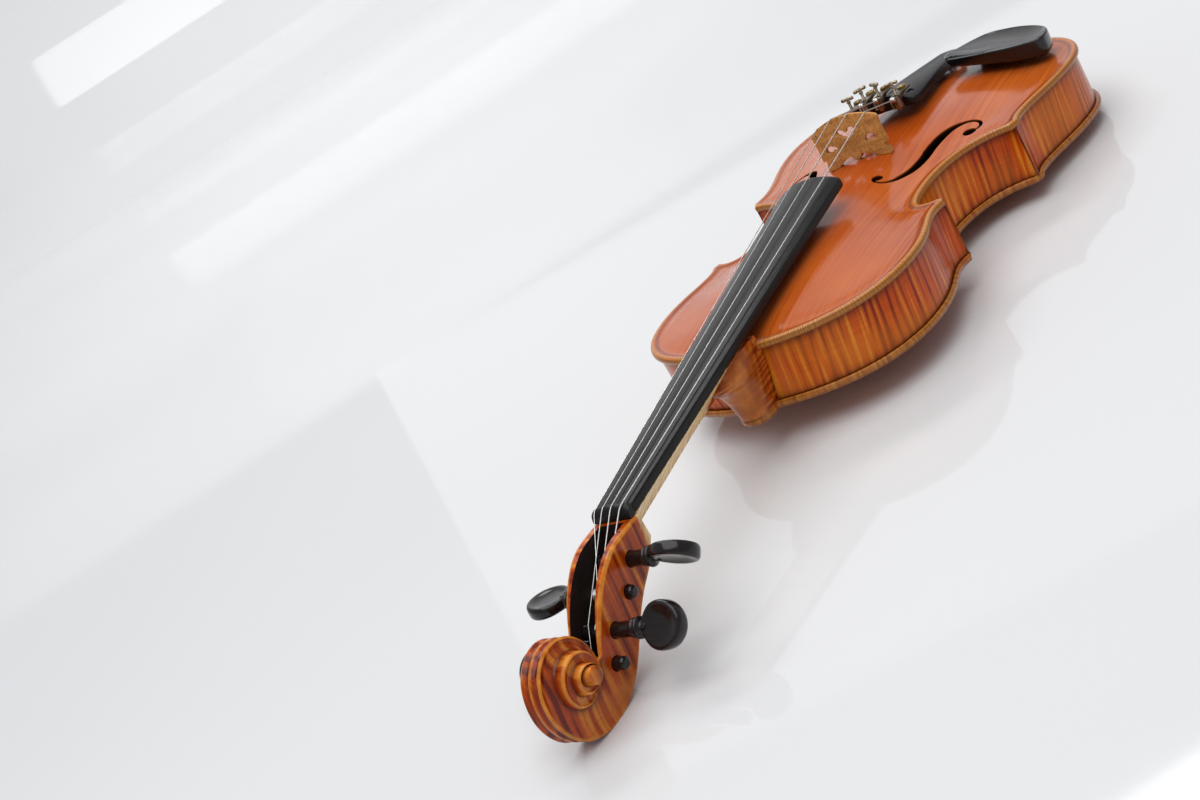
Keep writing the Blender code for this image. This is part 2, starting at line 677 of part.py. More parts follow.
def make_bridge():
    def foot(x):
        return top_z(x, BRIDGE_Y) + GAP + 0.15

    right = [(13.2, foot(13.2)), (17.5, foot(17.5)), (21.6, foot(21.6)), (21.8, 62.6), (20.9, 64.8),
             (20.4, 66.8), (21.2, 68.4), (22.3, 69.4), (22.4, 71.4), (22.6, 76.0), (23.0, 81.0)]
    crown = [(x, bridge_crown(x)) for x in (22.6, 17, 11, 5, 0, -5, -11, -17, -22.6)]
    left = [(-x, z) for x, z in reversed(right)]
    arch_line = [(-12.2, 61.8), (-8.0, 63.6), (-3.2, 64.5), (-2.6, 62.8), (0, 61.9), (2.6, 62.8), (3.2, 64.5),
                 (8.0, 63.6), (12.2, 61.8)]
    outline = [(x, z) for x, z in right + crown + left + arch_line]
    kidneys = [[(side * 13.6 + 3.9 * math.cos(a), 72.4 + 2.4 * math.sin(a)) for a in
                (2 * math.pi * i / 12 for i in range(12))] for side in (1, -1)]
    heart = [(0, 76.2), (2.6, 77.2), (4.8, 78.8), (6.0, 80.6), (5.4, 82.0), (3.4, 82.5), (1.4, 81.6),
             (0, 79.9), (-1.4, 81.6), (-3.4, 82.5), (-5.4, 82.0), (-6.0, 80.6), (-4.8, 78.8), (-2.6, 77.2)]
    upright = Matrix(((1, 0, 0), (0, 0, -1), (0, 1, 0)))
    bridge = slab("bridge", [outline, *kidneys, heart], -2.1, 2.1, MAPLE_BARE, frame=upright,
                  at=(0, BRIDGE_Y, 0))
    for vert in bridge.data.vertices:
        height = vert.co.y / MM
        vert.co.z *= between(height, (60.0, 90.4), (1.0, 0.36))


def peg_point(label, radius):
    """Where a string leaves the top of its peg."""
    for name, (y, z), _, _ in PEGS:
        if name == label:
            lean = radius + 3.95
            return y - 0.6 * lean, z + 0.8 * lean
    return None


def make_strings():
    nut_y = BOARD_Y[0] - GAP - 1.5
    for k, label in enumerate(STRING_NAMES):
        radius = STRING_RADIUS[k]
        nut_x, bridge_x, tail_x = STRING_AT_NUT[k], STRING_AT_BRIDGE[k], STRING_AT_TAIL[k]
        nut_z = board_crown(BOARD_Y[0]) + 0.7 - nut_x ** 2 / (2 * BOARD_RADIUS) + radius + GAP
        bridge_z = bridge_crown(bridge_x) + radius + GAP
        peg_y, peg_z = peg_point(label, radius)
        inside = nut_x * 0.5
        path = [(inside, peg_y, peg_z)]
        if label == "A":
            path.append((inside, -180.3, 18.9 + radius))
        path += [(nut_x, nut_y - 3.6, nut_z - 0.9), (nut_x, nut_y, nut_z + 0.1),
                 (nut_x, nut_y + 2.6, nut_z + 0.42)]
        path += [(bridge_x, BRIDGE_Y - 1.2, bridge_z - 0.05), (bridge_x, BRIDGE_Y + 1.2, bridge_z - 0.05)]
        hook_z = tail_surface(tail_x, TAIL_Y[0]) + 2.6
        path.append((tail_x, LEVER_Y - 2.6 - radius, hook_z))
        tube(f"string_{label}", path, radius, STEEL)


# ---------------------------------------------------------------- tailpiece and tuners
def tail_crown(y):
    return between(y, TAIL_Y, TAIL_CROWN)


def tail_surface(x, y):
    radius = 38.0
    return tail_crown(y) - radius + math.sqrt(radius ** 2 - x * x)


def make_tailpiece():
    rings = []
    for y, half, edge in ((240, 19.5, 3.6), (242.5, 22.0, 4.2), (255, 21.4, 4.6), (275, 18.4, 5.0),
                          (300, 14.6, 5.6), (325, 11.6, 6.2), (341, 10.4, 6.6), (345, 8.6, 6.0)):
        ring = [(half, y, tail_surface(half, y) - edge), (half, y, tail_surface(half, y) - edge * 0.4)]
        for i in range(7):
            x = half * math.cos(math.pi * (i + 0.5) / 7)
            ring.append((x, y, tail_surface(x, y)))
        ring += [(-half, y, tail_surface(half, y) - edge * 0.4), (-half, y, tail_surface(half, y) - edge)]
        rings.append(ring)
    loft("tailpiece", rings, EBONY)


def make_tuners():
    """A clamped bracket, a rocking lever, a threaded rod and its T-shaped thumb head."""
    side_view = Matrix(((0, 0, 1), (1, 0, 0), (0, 1, 0)))
    bracket_side = [(250, 0.5), (250, 1.9), (241, 2.6), (230.4, 2.6), (230.2, -4.6), (234.2, -4.6),
                    (234.6, -0.6), (238.8, -0.4), (239.2, 0.5)]
    lever_side = [(230.9, 3.4), (232.5, 3.4), (232.9, 0.5), (233.3, -3.9), (238.2, -4.3), (238.2, -5.4),
                  (231.0, -5.4), (230.6, -1.5)]
    meshes = {}
    for k, label in enumerate(STRING_NAMES):
        x = STRING_AT_TAIL[k]
        base = tail_surface(x, TAIL_Y[0])
        spots = {"bracket": (x, SCREW_Y, base + 0.9), "lever": (x, LEVER_Y, base - 3.0),
                 "rod": (x, SCREW_Y, base + 3.0), "thumb": (x, SCREW_Y, base + 10.4)}
        if not meshes:
            bracket = slab("tuner_bracket", [[(y - SCREW_Y, z) for y, z in bracket_side]], -3.0, 3.0, NICKEL,
                           frame=side_view)
            slot = box("tuner_slot", (-1.5, -8, -8), (1.5, -1.5, 6), cutter=True)
            bore = cylinder("tuner_bore", 1.35, 20, (0, 0, 0), (0, 0, 1), cutter=True, sides=14)
            pin_bore = cylinder("tuner_pin_bore", 1.0, 10, (0, LEVER_Y - SCREW_Y, -3.9), (1, 0, 0),
                                cutter=True, sides=12)
            nut = cylinder("tuner_ring_nut", 2.9, 2.6, (0, 9.6, 2.6), (0, 0, 1), cutter=True, sides=16)
            boolean(bracket, slot, "DIFFERENCE")
            boolean(bracket, bore, "DIFFERENCE")
            boolean(bracket, pin_bore, "DIFFERENCE")
            boolean(bracket, nut, "UNION")
            lever = slab("tuner_lever", [[(y - LEVER_Y, z + 3.0) for y, z in lever_side]], -1.2, 1.2, NICKEL,
                         frame=side_view)
            pin = cylinder("tuner_pin", 0.7, 5.6, (0, 0, 0), (1, 0, 0), cutter=True, sides=12)
            boolean(lever, pin, "UNION")
            rod = cylinder("tuner_rod", 1.0, 13.0, (0, 0, -0.2), (0, 0, 1), NICKEL, sides=14)
            thumb = box("tuner_thumb", (-4.2, -1.2, -0.8), (4.2, 1.2, 1.4), NICKEL, bevel=0.5)
            for kind, obj in (("bracket", bracket), ("lever", lever), ("rod", rod), ("thumb", thumb)):
                frozen = as_mesh(obj)
                frozen.data.transform(REST.matrix_world.inverted() @ frozen.matrix_world)
                meshes[kind] = frozen.data
                bpy.data.objects.remove(frozen, do_unlink=True)
        for kind, spot in spots.items():
            turn = Matrix.Rotation(math.radians((12, -30, 40, 5)[k]), 3, "Z") if kind == "thumb" else None
            settle(bpy.data.objects.new(f"tuner_{kind}_{label}", meshes[kind]), None, spot, turn)


def make_tail_fittings():
    rings = []
    for y, low, high in ((348.9, 46.3, 51.5), (350.6, 46.3, 53.6), (353.4, 46.3, 54.0), (356.4, 46.3, 52.2)):
        ring = []
        for x in (-SADDLE_HALF, -14, 14, SADDLE_HALF):
            ring.append((x, y, high - (1.6 if abs(x) == SADDLE_HALF else 0)))
        ring += [(SADDLE_HALF, y, low), (-SADDLE_HALF, y, low)]
        rings.append(ring)
    loft("saddle", rings, EBONY)
    face = BODY_LENGTH - OVERHANG
    profile = ((0, 13.6), (3.0, 13.4), (5.2, 12.0), (6.0, 9.6), (5.4, 7.2), (4.4, 5.4), (4.2, 4.2),
               (5.4, 3.4), (6.4, 2.2), (6.4, 0.8), (3.55, 0.5), (3.3, -17), (0, -17.4))
    toward_tail = Matrix(((1, 0, 0), (0, 0, 1), (0, -1, 0)))
    turned("endpin", profile, EBONY, (0, face + GAP, ENDPIN_Z), toward_tail, sides=14)
    path = [(4.4, 345.6, 52.7), (4.4, 349.0, 54.6), (4.4, 352.0, 55.3), (4.4, 355.0, 54.9),
            (4.5, 357.4, 52.6), (4.8, 358.3, 47.0), (5.5, 358.4, 38.0), (6.0, 358.2, 31.0)]
    for i in range(1, 8):
        angle = math.pi * i / 8
        path.append((6.0 * math.cos(angle), 358.2, ENDPIN_Z - 6.0 * math.sin(angle)))
    path += [(-x, y, z) for x, y, z in reversed(path[:8])]
    tube("tailgut", path, 0.85, GUT)


# ---------------------------------------------------------------- chin rest
def clamp_frame():
    curve = bezier(LOWER_BOUT[1], 40)
    i = round(CLAMP_AT * 40)
    (ax, ay), (bx, by) = curve[i - 1], curve[i + 1]
    along = Vector((bx - ax, by - ay)).normalized()
    out = Vector((along.y, -along.x))
    return Vector(curve[i]), along, out


def make_chinrest():
    rim = ((17, 309, 70.2), (21, 299, 70.4), (30, 294, 70.0), (42, 290.5, 69.4), (56, 287, 68.7),
           (71, 284, 67.8), (83, 284.5, 67.3), (90, 290, 66.8), (89, 300, 66.0), (84, 310.5, 65.3),
           (72, 323, 64.7), (57, 334, 64.3), (44, 340.5, 64.1), (33, 343.5, 64.3), (24, 337, 65.3),
           (18, 322, 67.6))
    cx, cy, middle = 55.0, 312.0, 67.0

    def ring(scale, drop, level=None):
        points = []
        for x, y, z in rim:
            px = cx + (x - cx) * scale
            height = middle + (z - middle) * scale - drop * between(px, (17, 90), (0.7, 1.6))
            points.append((px, cy + (y - cy) * scale, level or height))
        return points

    rings = [ring(0.3, 0, 59.4), ring(0.72, 0, 60.4), ring(0.9, 7.6), ring(0.985, 6.2), ring(1.0, 0.9),
             ring(0.985, 0.2), ring(0.95, 0.0), ring(0.8, 1.9), ring(0.55, 3.6), ring(0.25, 4.3)]
    cup = loft("chinrest_cup", rings, BLACK_WOOD)

    centre, along, out = clamp_frame()

    def at(s, r, z):
        point = centre + along * s + out * r
        return (point.x, point.y, z)

    turn = Matrix(((along.x, out.x, 0), (along.y, out.y, 0), (0, 0, 1)))
    half = CLAMP_SPACING / 2
    sole = [at(s, r, 56.8) for s, r in ((-half, -15.0), (half, -15.0), (half, -8.5), (-half, -8.5))]
    rings = [[(x, y, z) for x, y, _ in sole] for z in (53.9, 61.0)]
    boolean(cup, loft("chinrest_sole", rings, cutter=True), "UNION")
    brackets = (("chinrest_top_bracket", -15.0, (51.5, 53.6), (51.6, 53.4), 33.0, 52.5),
                ("chinrest_foot", -7.0, (8.1, 10.4), (8.3, 10.2), 9.2, 28.6))
    for name, reach, plate, ear, low, high in brackets:
        spec = ((-half - 2.6, half + 2.6, reach, -1.0, plate),
                (-half - 2.6, -half + 2.6, -1.2, CLAMP_REACH + 2.2, ear),
                (half - 2.6, half + 2.6, -1.2, CLAMP_REACH + 2.2, ear))
        pieces = []
        for k, (s0, s1, r0, r1, (z0, z1)) in enumerate(spec):
            bm = bmesh.new()
            bmesh.ops.create_cube(bm, size=1.0)
            bmesh.ops.scale(bm, vec=((s1 - s0) * MM, (r1 - r0) * MM, (z1 - z0) * MM), verts=bm.verts)
            label = name if k == 0 else f"{name}_ear_{k}"
            middle = at((s0 + s1) / 2, (r0 + r1) / 2, (z0 + z1) / 2)
            pieces.append(from_bmesh(label, bm, NICKEL if k == 0 else None, middle, turn, cutter=k > 0,
                                     smooth=False))
        for ear_piece in pieces[1:]:
            boolean(pieces[0], ear_piece, "UNION")
        for k, s in enumerate((-half, half)):
            middle = at(s, CLAMP_REACH, (low + high) / 2)
            post = cylinder(f"{name}_post_{k}", 1.5, high - low, middle, (0, 0, 1), cutter=True, sides=14)
            boolean(pieces[0], post, "UNION")
    for k, s in enumerate((-half, half)):
        spot = at(s, CLAMP_REACH, 31.0)
        barrel = cylinder(f"chinrest_barrel_{'AB'[k]}", 3.3, 19.0, spot, (0, 0, 1), NICKEL, sides=20)
        bore = cylinder(f"barrel_bore_{k}", 1.85, 24.0, spot, (0, 0, 1), cutter=True, sides=14)
        boolean(barrel, bore, "DIFFERENCE")


# ---------------------------------------------------------------- rest flats
def flatten_rest():
    """Two small worn flats where the violin touches the table: the scroll and the back."""
    bm = bmesh.new()
    bmesh.ops.create_cube(bm, size=1.0)
    bmesh.ops.scale(bm, vec=(0.3, 0.8, 0.02), verts=bm.verts)
    mesh = bpy.data.meshes.new("table_level")
    bm.to_mesh(mesh)
    bm.free()
    table = bpy.data.objects.new("table_level", mesh)
    CUTTERS.objects.link(table)
    table.location = (0, 0, -0.01)
    table.hide_render = True
    table.display_type = "WIRE"
    for name in ("neck_and_scroll", "back_plate"):
        boolean(bpy.data.objects[name], table, "DIFFERENCE")


clear_scene()
PARTS = new_collection("violin")
CUTTERS = new_collection("violin_cutters")
REST = bpy.data.objects.new("violin_rest", None)
PARTS.objects.link(REST)
REST.rotation_euler = (REST_PITCH, 0, 0)
REST.location = mm(REST_SHIFT)
bpy.context.view_layer.update()

HALF = half_outline()
SPRUCE = principled("varnished_spruce", (0.46, 0.12, 0.03), 0.2)
SPRUCE_BARE = principled("bare_spruce", (0.62, 0.45, 0.27), 0.6)
MAPLE = principled("varnished_maple_back", (0.45, 0.13, 0.03), 0.22)
MAPLE_RIB = principled("varnished_maple_ribs", (0.48, 0.11, 0.02), 0.22)
MAPLE_NECK = principled("maple_neck", (0.55, 0.27, 0.09), 0.35)
MAPLE_BARE = principled("bridge_maple", (0.55, 0.32, 0.13), 0.5)
WILLOW = principled("willow", (0.66, 0.5, 0.32), 0.7)
EBONY = principled("ebony", (0.02, 0.018, 0.017), 0.3)
BLACK_WOOD = principled("chinrest_black", (0.02, 0.02, 0.02), 0.35)
STEEL = principled("string_steel", (0.6, 0.58, 0.55), 0.3, 1.0)
NICKEL = principled("tuner_nickel", (0.5, 0.46, 0.38), 0.35, 1.0)
GUT = principled("tailgut_black", (0.03, 0.03, 0.03), 0.5)

make_plates()
make_ribs()
make_linings()
make_blocks()
make_bar_and_post()
make_fingerboard()
make_nut()
make_neck()
make_pegs()
make_bridge()
make_tailpiece()
make_tuners()
make_tail_fittings()
make_chinrest()
make_strings()
flatten_rest()
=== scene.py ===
"""Looks for the violin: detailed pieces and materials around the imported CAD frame.

Shapes are worked out in the violin body's own frame, in millimetres, as in the CAD:
X points to the bass side, -Y to the scroll, +Z up through the top. BODY carries them
into the row frame, where the violin leans on its scroll and on the back's arch.
"""
import math

import bmesh
import bpy
import numpy as np
from mathutils import Matrix, Vector
from mathutils.geometry import delaunay_2d_cdt


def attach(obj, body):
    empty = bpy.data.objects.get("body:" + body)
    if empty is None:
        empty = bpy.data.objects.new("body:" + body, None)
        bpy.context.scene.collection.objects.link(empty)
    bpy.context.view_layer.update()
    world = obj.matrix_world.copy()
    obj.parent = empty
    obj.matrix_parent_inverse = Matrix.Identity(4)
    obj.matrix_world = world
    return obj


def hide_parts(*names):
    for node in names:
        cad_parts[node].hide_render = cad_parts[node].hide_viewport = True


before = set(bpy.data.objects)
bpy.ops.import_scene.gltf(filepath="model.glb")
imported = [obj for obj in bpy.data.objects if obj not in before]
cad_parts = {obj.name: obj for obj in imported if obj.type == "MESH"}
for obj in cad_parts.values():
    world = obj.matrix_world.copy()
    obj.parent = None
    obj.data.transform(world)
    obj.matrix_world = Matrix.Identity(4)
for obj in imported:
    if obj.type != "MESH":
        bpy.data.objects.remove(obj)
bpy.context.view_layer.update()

MM = 0.001
REST_PITCH = math.radians(-2.33)
REST_SHIFT = Vector((0.0, -68.01, 8.75))
BODY = (Matrix.Translation(REST_SHIFT * MM) @ Matrix.Rotation(REST_PITCH, 4, "X")
        @ Matrix.Scale(MM, 4))

# Camera, in row-frame millimetres: where it is, what it looks at, how far it is rolled.
CAMERA_AT = (513.9, -678.8, 371.7)
CAMERA_AIM = (-82.4, -82.3, 57.7)
CAMERA_ROLL = -33.03
CAMERA_LENS = 49.87

# Body
BODY_LENGTH = 356.0
BACK_EDGE_Z = 11.0
RIB_BOTTOM_Z = 15.0
RIB_TOP_Z = 46.0
TOP_EDGE_Z = 50.0
TOP_RISE = 11.5
BACK_RISE = 11.0
TOP_FULLNESS = 1.15
BACK_FULLNESS = 1.3
PLATE_THICKNESS = 3.0
GLUE_WIDTH = (6.5, 10)
OVERHANG = 2.7
RIB_THICKNESS = 1.1
BUTTON_RADIUS = 10.5
BUTTON_REACH = 14.5
SADDLE_HALF = 18.0

OUTLINE_STEPS = 34
# Half outline from the neck to the tail: four Bezier control points (half width, y) each.
UPPER_BOUT = (((0, 0), (50, 0), (85, 22), (85, 69)), ((85, 69), (85, 94), (73, 107), (79.5, 120.5)))
WAIST = (((77, 126), (67, 120.5), (57, 121), (56, 150)), ((56, 150), (55.2, 176), (66, 200), (91, 202)))
LOWER_BOUT = (((94, 208.2), (86, 226), (104, 250), (104, 283)),
              ((104, 283), (104, 328), (56, 356), (0, 356)))
ARCH_Y = (0, 6, 20, 45, 70, 100, 122, 150, 178, 200, 215, 250, 283, 310, 335, 350, 356)
ARCH_W = (0, 30, 58, 78, 81, 72, 62, 53, 55, 64, 74, 93, 100, 93, 70, 38, 0)

# f-hole spine on the bass side: (x, y, half width), and the two round eyes.
F_SPINE = ((21.2, 161.0, 0.9), (24.0, 158.0, 0.9), (28.5, 157.6, 1.1), (33.0, 160.4, 1.6),
           (36.4, 165.5, 2.2), (40.2, 174.0, 2.7), (42.6, 186.0, 3.1), (43.6, 198.0, 3.3),
           (46.2, 209.0, 3.2), (50.0, 217.0, 2.7), (55.2, 221.8, 1.9), (60.6, 223.0, 1.4),
           (65.4, 220.6, 1.2), (67.4, 216.0, 1.1), (66.0, 211.6, 1.1))
F_EYES = ((23.4, 162.6, 3.2), (62.4, 210.0, 4.1))
F_NICKS_AT = (43.2, 193.0)


# ---------------------------------------------------------------- numbers and curves
def bezier(points, count):
    """Points along one cubic Bezier curve in plan."""
    out = []
    for i in range(count + 1):
        t = i / count
        weights = ((1 - t) ** 3, 3 * t * (1 - t) ** 2, 3 * t * t * (1 - t), t ** 3)
        out.append(tuple(sum(w * p[k] for w, p in zip(weights, points)) for k in (0, 1)))
    return out


def chain(curves, count):
    """Bezier curves that follow on from each other, as one path."""
    out = []
    for curve in curves:
        out += bezier(curve, count)[1 if out else 0:]
    return out


def catmull(p, q, r, w, t):
    """One coordinate of a Catmull-Rom span that runs from q to r."""
    bend = (2 * p - 5 * q + 4 * r - w) * t * t
    return 0.5 * (2 * q + (r - p) * t + bend + (3 * q - p - 3 * r + w) * t ** 3)


def smooth(points, steps, closed=False):
    """Catmull-Rom curve through the points, with the given steps in each span."""
    count = len(points)
    out = []
    for i in range(count if closed else count - 1):
        near = [(i + k) % count if closed else min(max(i + k, 0), count - 1) for k in (-1, 0, 1, 2)]
        spans = list(zip(*(points[n] for n in near)))
        for s in range(steps):
            out.append(tuple(catmull(*span, s / steps) for span in spans))
    if not closed:
        out.append(tuple(points[-1]))
    return out


def cosines(count):
    """Values from 1 down to -1, closer together at both ends."""
    return [math.cos(math.pi * i / count) for i in range(count + 1)]


def circle(count):
    """Equally spaced angles round a full turn."""
    return [2 * math.pi * i / count for i in range(count)]


def mirrored(points):
    """The points on the other side of the middle, in the opposite order."""
    return [(-x, y) for x, y in reversed(points)]


def offset(path, distance):
    """A path moved to the left of its direction of travel."""
    out = []
    for i, (x, y) in enumerate(path):
        ax, ay = path[max(i - 1, 0)]
        bx, by = path[min(i + 1, len(path) - 1)]
        length = math.hypot(bx - ax, by - ay)
        out.append((x - (by - ay) / length * distance, y + (bx - ax) / length * distance))
    return out


def extended(path, reach):
    """The path run on straight past both ends."""
    out = list(path)
    for end, (bx, by), (ax, ay) in ((0, path[0], path[1]), (len(out) + 1, path[-1], path[-2])):
        length = math.hypot(bx - ax, by - ay)
        out.insert(end, (bx + (bx - ax) / length * reach, by + (by - ay) / length * reach))
    return out


def crossing(a, b):
    """The first crossing of two plan paths: the point and the segment index on each."""
    for i in range(len(a) - 1):
        for j in range(len(b) - 1):
            (x1, y1), (x2, y2), (x3, y3), (x4, y4) = a[i], a[i + 1], b[j], b[j + 1]
            det = (x2 - x1) * (y4 - y3) - (y2 - y1) * (x4 - x3)
            if abs(det) < 1e-9:
                continue
            t = ((x3 - x1) * (y4 - y3) - (y3 - y1) * (x4 - x3)) / det
            s = ((x3 - x1) * (y2 - y1) - (y3 - y1) * (x2 - x1)) / det
            if 0 <= t <= 1 and 0 <= s <= 1:
                return (x1 + t * (x2 - x1), y1 + t * (y2 - y1)), i, j
    return None


def table(value, xs, ys):
    """Smooth interpolation through (xs, ys); xs rise. Works on arrays."""
    xs = np.asarray(xs, float)
    ys = np.asarray(ys, float)
    slopes = np.gradient(ys, xs)
    value = np.clip(np.asarray(value, float), xs[0], xs[-1])
    i = np.clip(np.searchsorted(xs, value, side="right") - 1, 0, len(xs) - 2)
    step = xs[i + 1] - xs[i]
    t = (value - xs[i]) / step
    return ((2 * t ** 3 - 3 * t ** 2 + 1) * ys[i] + (t ** 3 - 2 * t ** 2 + t) * step * slopes[i]
            + (3 * t ** 2 - 2 * t ** 3) * ys[i + 1] + (t ** 3 - t ** 2) * step * slopes[i + 1])


def ease(value, low, high):
    """0 up to low, 1 from high, and a smooth step between; works on arrays."""
    t = np.clip((np.asarray(value, float) - low) / (high - low), 0, 1)
    return t * t * (3 - 2 * t)


def distances(points, path):
    """Distance from each point to a polyline, and the arc length of the nearest place on it."""
    points = np.asarray(points, float)
    path = np.asarray(path, float)
    a, step = path[:-1], path[1:] - path[:-1]
    lengths = np.hypot(step[:, 0], step[:, 1])
    starts = np.concatenate(([0], np.cumsum(lengths)))[:-1]
    reach = points[:, None, :] - a[None]
    t = np.clip((reach * step[None]).sum(2) / (lengths ** 2 + 1e-12)[None], 0, 1)
    gap = np.linalg.norm(reach - t[:, :, None] * step[None], axis=2)
    best = gap.argmin(1)
    rows = np.arange(len(points))
    return gap[rows, best], starts[best] + t[rows, best] * lengths[best]


def inside(points, polygon):
    """Which of the points lie within a closed polygon."""
    points = np.asarray(points, float)
    x, y = points[:, 0], points[:, 1]
    result = np.zeros(len(points), bool)
    for (ax, ay), (bx, by) in zip(polygon, polygon[1:] + polygon[:1]):
        spans = (ay > y) != (by > y)
        with np.errstate(divide="ignore", invalid="ignore"):
            at = ax + (y - ay) * (bx - ax) / (by - ay if by != ay else 1e-12)
        result ^= spans & (x < at)
    return result


# ---------------------------------------------------------------- pieces
def link(obj):
    bpy.context.scene.collection.objects.link(obj)
    return obj


def evaluated(obj):
    """The object's final mesh, after its modifiers."""
    bpy.context.view_layer.update()
    graph = bpy.context.evaluated_depsgraph_get()
    return bpy.data.meshes.new_from_object(obj.evaluated_get(graph))


def publish(name, mesh, body, material, replaces=(), sharp=40):
    """Link a mesh that is already in the row frame as a visible piece on a CAD body."""
    mesh.shade_smooth()
    mesh.set_sharp_from_angle(angle=math.radians(sharp))
    for item in material if isinstance(material, (list, tuple)) else (material,):
        mesh.materials.append(item)
    obj = link(bpy.data.objects.new(name, mesh))
    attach(obj, body)
    if replaces:
        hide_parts(*replaces)


def store(mesh, key, values):
    """Keep one number or one vector per point, for the materials to read."""
    values = np.asarray(values, np.float32)
    single = values.ndim == 1
    layer = mesh.attributes.new(key, "FLOAT" if single else "FLOAT_VECTOR", "POINT")
    layer.data.foreach_set("value" if single else "vector", values.ravel())


def mesh_of(name, points, faces, attributes=None):
    """A mesh from body-frame millimetres, with optional per-point attributes."""
    mesh = bpy.data.meshes.new(name)
    mesh.from_pydata([Vector(p) for p in points], [], faces)
    for key, values in (attributes or {}).items():
        store(mesh, key, values)
    mesh.transform(BODY)
    return mesh


def tidy(mesh, weld=0.000004):
    """Weld doubled points, drop collapsed faces and turn all faces outwards."""
    bm = bmesh.new()
    bm.from_mesh(mesh)
    bmesh.ops.remove_doubles(bm, verts=bm.verts, dist=weld)
    bmesh.ops.dissolve_degenerate(bm, edges=bm.edges, dist=0.0000005)
    bmesh.ops.recalc_face_normals(bm, faces=bm.faces)
    bm.to_mesh(mesh)
    bm.free()
    return mesh


def above_table(mesh):
    """Keep every point on or above the table."""
    for vert in mesh.vertices:
        vert.co.z = max(vert.co.z, 0.0)


def boolean(mesh, cutters, operation):
    """Combine a mesh with closed cutter meshes, all in the row frame."""
    base = link(bpy.data.objects.new("work", mesh))
    tools = [link(bpy.data.objects.new("tool", cutter)) for cutter in cutters]
    for tool in tools:
        step = base.modifiers.new("cut", "BOOLEAN")
        step.operation = operation
        step.object = tool
        step.solver = "EXACT"
    result = evaluated(base)
    for obj in (base, *tools):
        bpy.data.objects.remove(obj, do_unlink=True)
    return result


def grid_faces(rows, columns, closed=False):
    """Quads over a grid of points that is stored row by row."""
    faces = []
    for i in range(rows - 1):
        for j in range(columns if closed else columns - 1):
            k = (j + 1) % columns
            faces.append((i * columns + j, i * columns + k, (i + 1) * columns + k, (i + 1) * columns + j))
    return faces


def loft(name, rings, caps=True):
    """A skin through closed sections of equal point count."""
    count = len(rings[0])
    points = [p for ring in rings for p in ring]
    faces = grid_faces(len(rings), count, closed=True)
    if caps:
        faces.append(tuple(reversed(range(count))))
        faces.append(tuple(range(len(points) - count, len(points))))
    return tidy(mesh_of(name, points, faces))


def turned(name, profile, at, axis, sides=48):
    """A turned shape: (radius, height) along axis from a body-frame point."""
    turn = Vector((0, 0, 1)).rotation_difference(Vector(axis).normalized()).to_matrix()
    rings = []
    for radius, height in profile:
        radius = max(radius, 0.001)
        rings.append([Vector(at) + turn @ Vector((radius * math.cos(a), radius * math.sin(a), height))
                      for a in circle(sides)])
    return loft(name, rings)


def rounded(profile, radius=0.35, steps=3):
    """Round each inner corner of an open (radius, height) profile."""
    out = [profile[0]]
    for i in range(1, len(profile) - 1):
        p, q, r = (Vector(profile[i + k]) for k in (-1, 0, 1))
        back, ahead = p - q, r - q
        reach = min(radius, back.length * 0.45, ahead.length * 0.45)
        a, b = q + back.normalized() * reach, q + ahead.normalized() * reach
        for s in range(steps + 1):
            t = s / steps
            out.append(tuple((1 - t) ** 2 * a + 2 * t * (1 - t) * q + t * t * b))
    out.append(profile[-1])
    return out


def tube(name, path, radius, sides=12, ends=True):
    """A round tube along a path; radius is a number or one per point."""
    path = [Vector(p) for p in path]
    radii = radius if isinstance(radius, (list, tuple)) else [radius] * len(path)
    rings = []
    normal = None
    for i, point in enumerate(path):
        along = (path[min(i + 1, len(path) - 1)] - path[max(i - 1, 0)]).normalized()
        if normal is None:
            normal = along.orthogonal().normalized()
        normal = (normal - along * normal.dot(along)).normalized()
        other = along.cross(normal)
        rings.append([point + (normal * math.cos(a) + other * math.sin(a)) * radii[i]
                      for a in circle(sides)])
    return loft(name, rings, ends)


def slab(name, outlines, low, high, bevel=0.0, place=Matrix.Identity(4)):
    """Flat outlines, the first one outer and the rest holes, extruded from low to high with round edges."""
    curve = bpy.data.curves.new(name, "CURVE")
    curve.dimensions = "2D"
    curve.fill_mode = "BOTH"
    curve.extrude = (high - low) / 2 - bevel
    curve.bevel_depth = bevel
    curve.bevel_resolution = 2
    curve.offset = -bevel
    for outline in outlines:
        spline = curve.splines.new("POLY")
        spline.points.add(len(outline) - 1)
        for point, (x, y) in zip(spline.points, outline):
            point.co = (x, y, 0, 1)
        spline.use_cyclic_u = True
    obj = link(bpy.data.objects.new(name, curve))
    mesh = evaluated(obj)
    bpy.data.objects.remove(obj, do_unlink=True)
    mesh.transform(BODY @ place @ Matrix.Translation((0, 0, (low + high) / 2)))
    return tidy(mesh)


def joined(name, meshes):
    """Several meshes as one, without changing them."""
    bm = bmesh.new()
    for mesh in meshes:
        bm.from_mesh(mesh)
    mesh = bpy.data.meshes.new(name)
    bm.to_mesh(mesh)
    bm.free()
    return mesh


# ---------------------------------------------------------------- material nodes
def make(tree, kind, inputs=None, **settings):
    """A shader node whose inputs are linked, or set to plain values."""
    item = tree.nodes.new("ShaderNode" + kind)
    for key, value in settings.items():
        setattr(item, key, value)
    for key, value in (inputs or {}).items():
        if isinstance(value, bpy.types.NodeSocket):
            tree.links.new(value, item.inputs[key])
        else:
            item.inputs[key].default_value = value
    return item


def stretch(tree, vector, scale, turn=(0, 0, 0)):
    return make(tree, "Mapping", {"Vector": vector, "Scale": scale, "Rotation": turn}).outputs["Vector"]


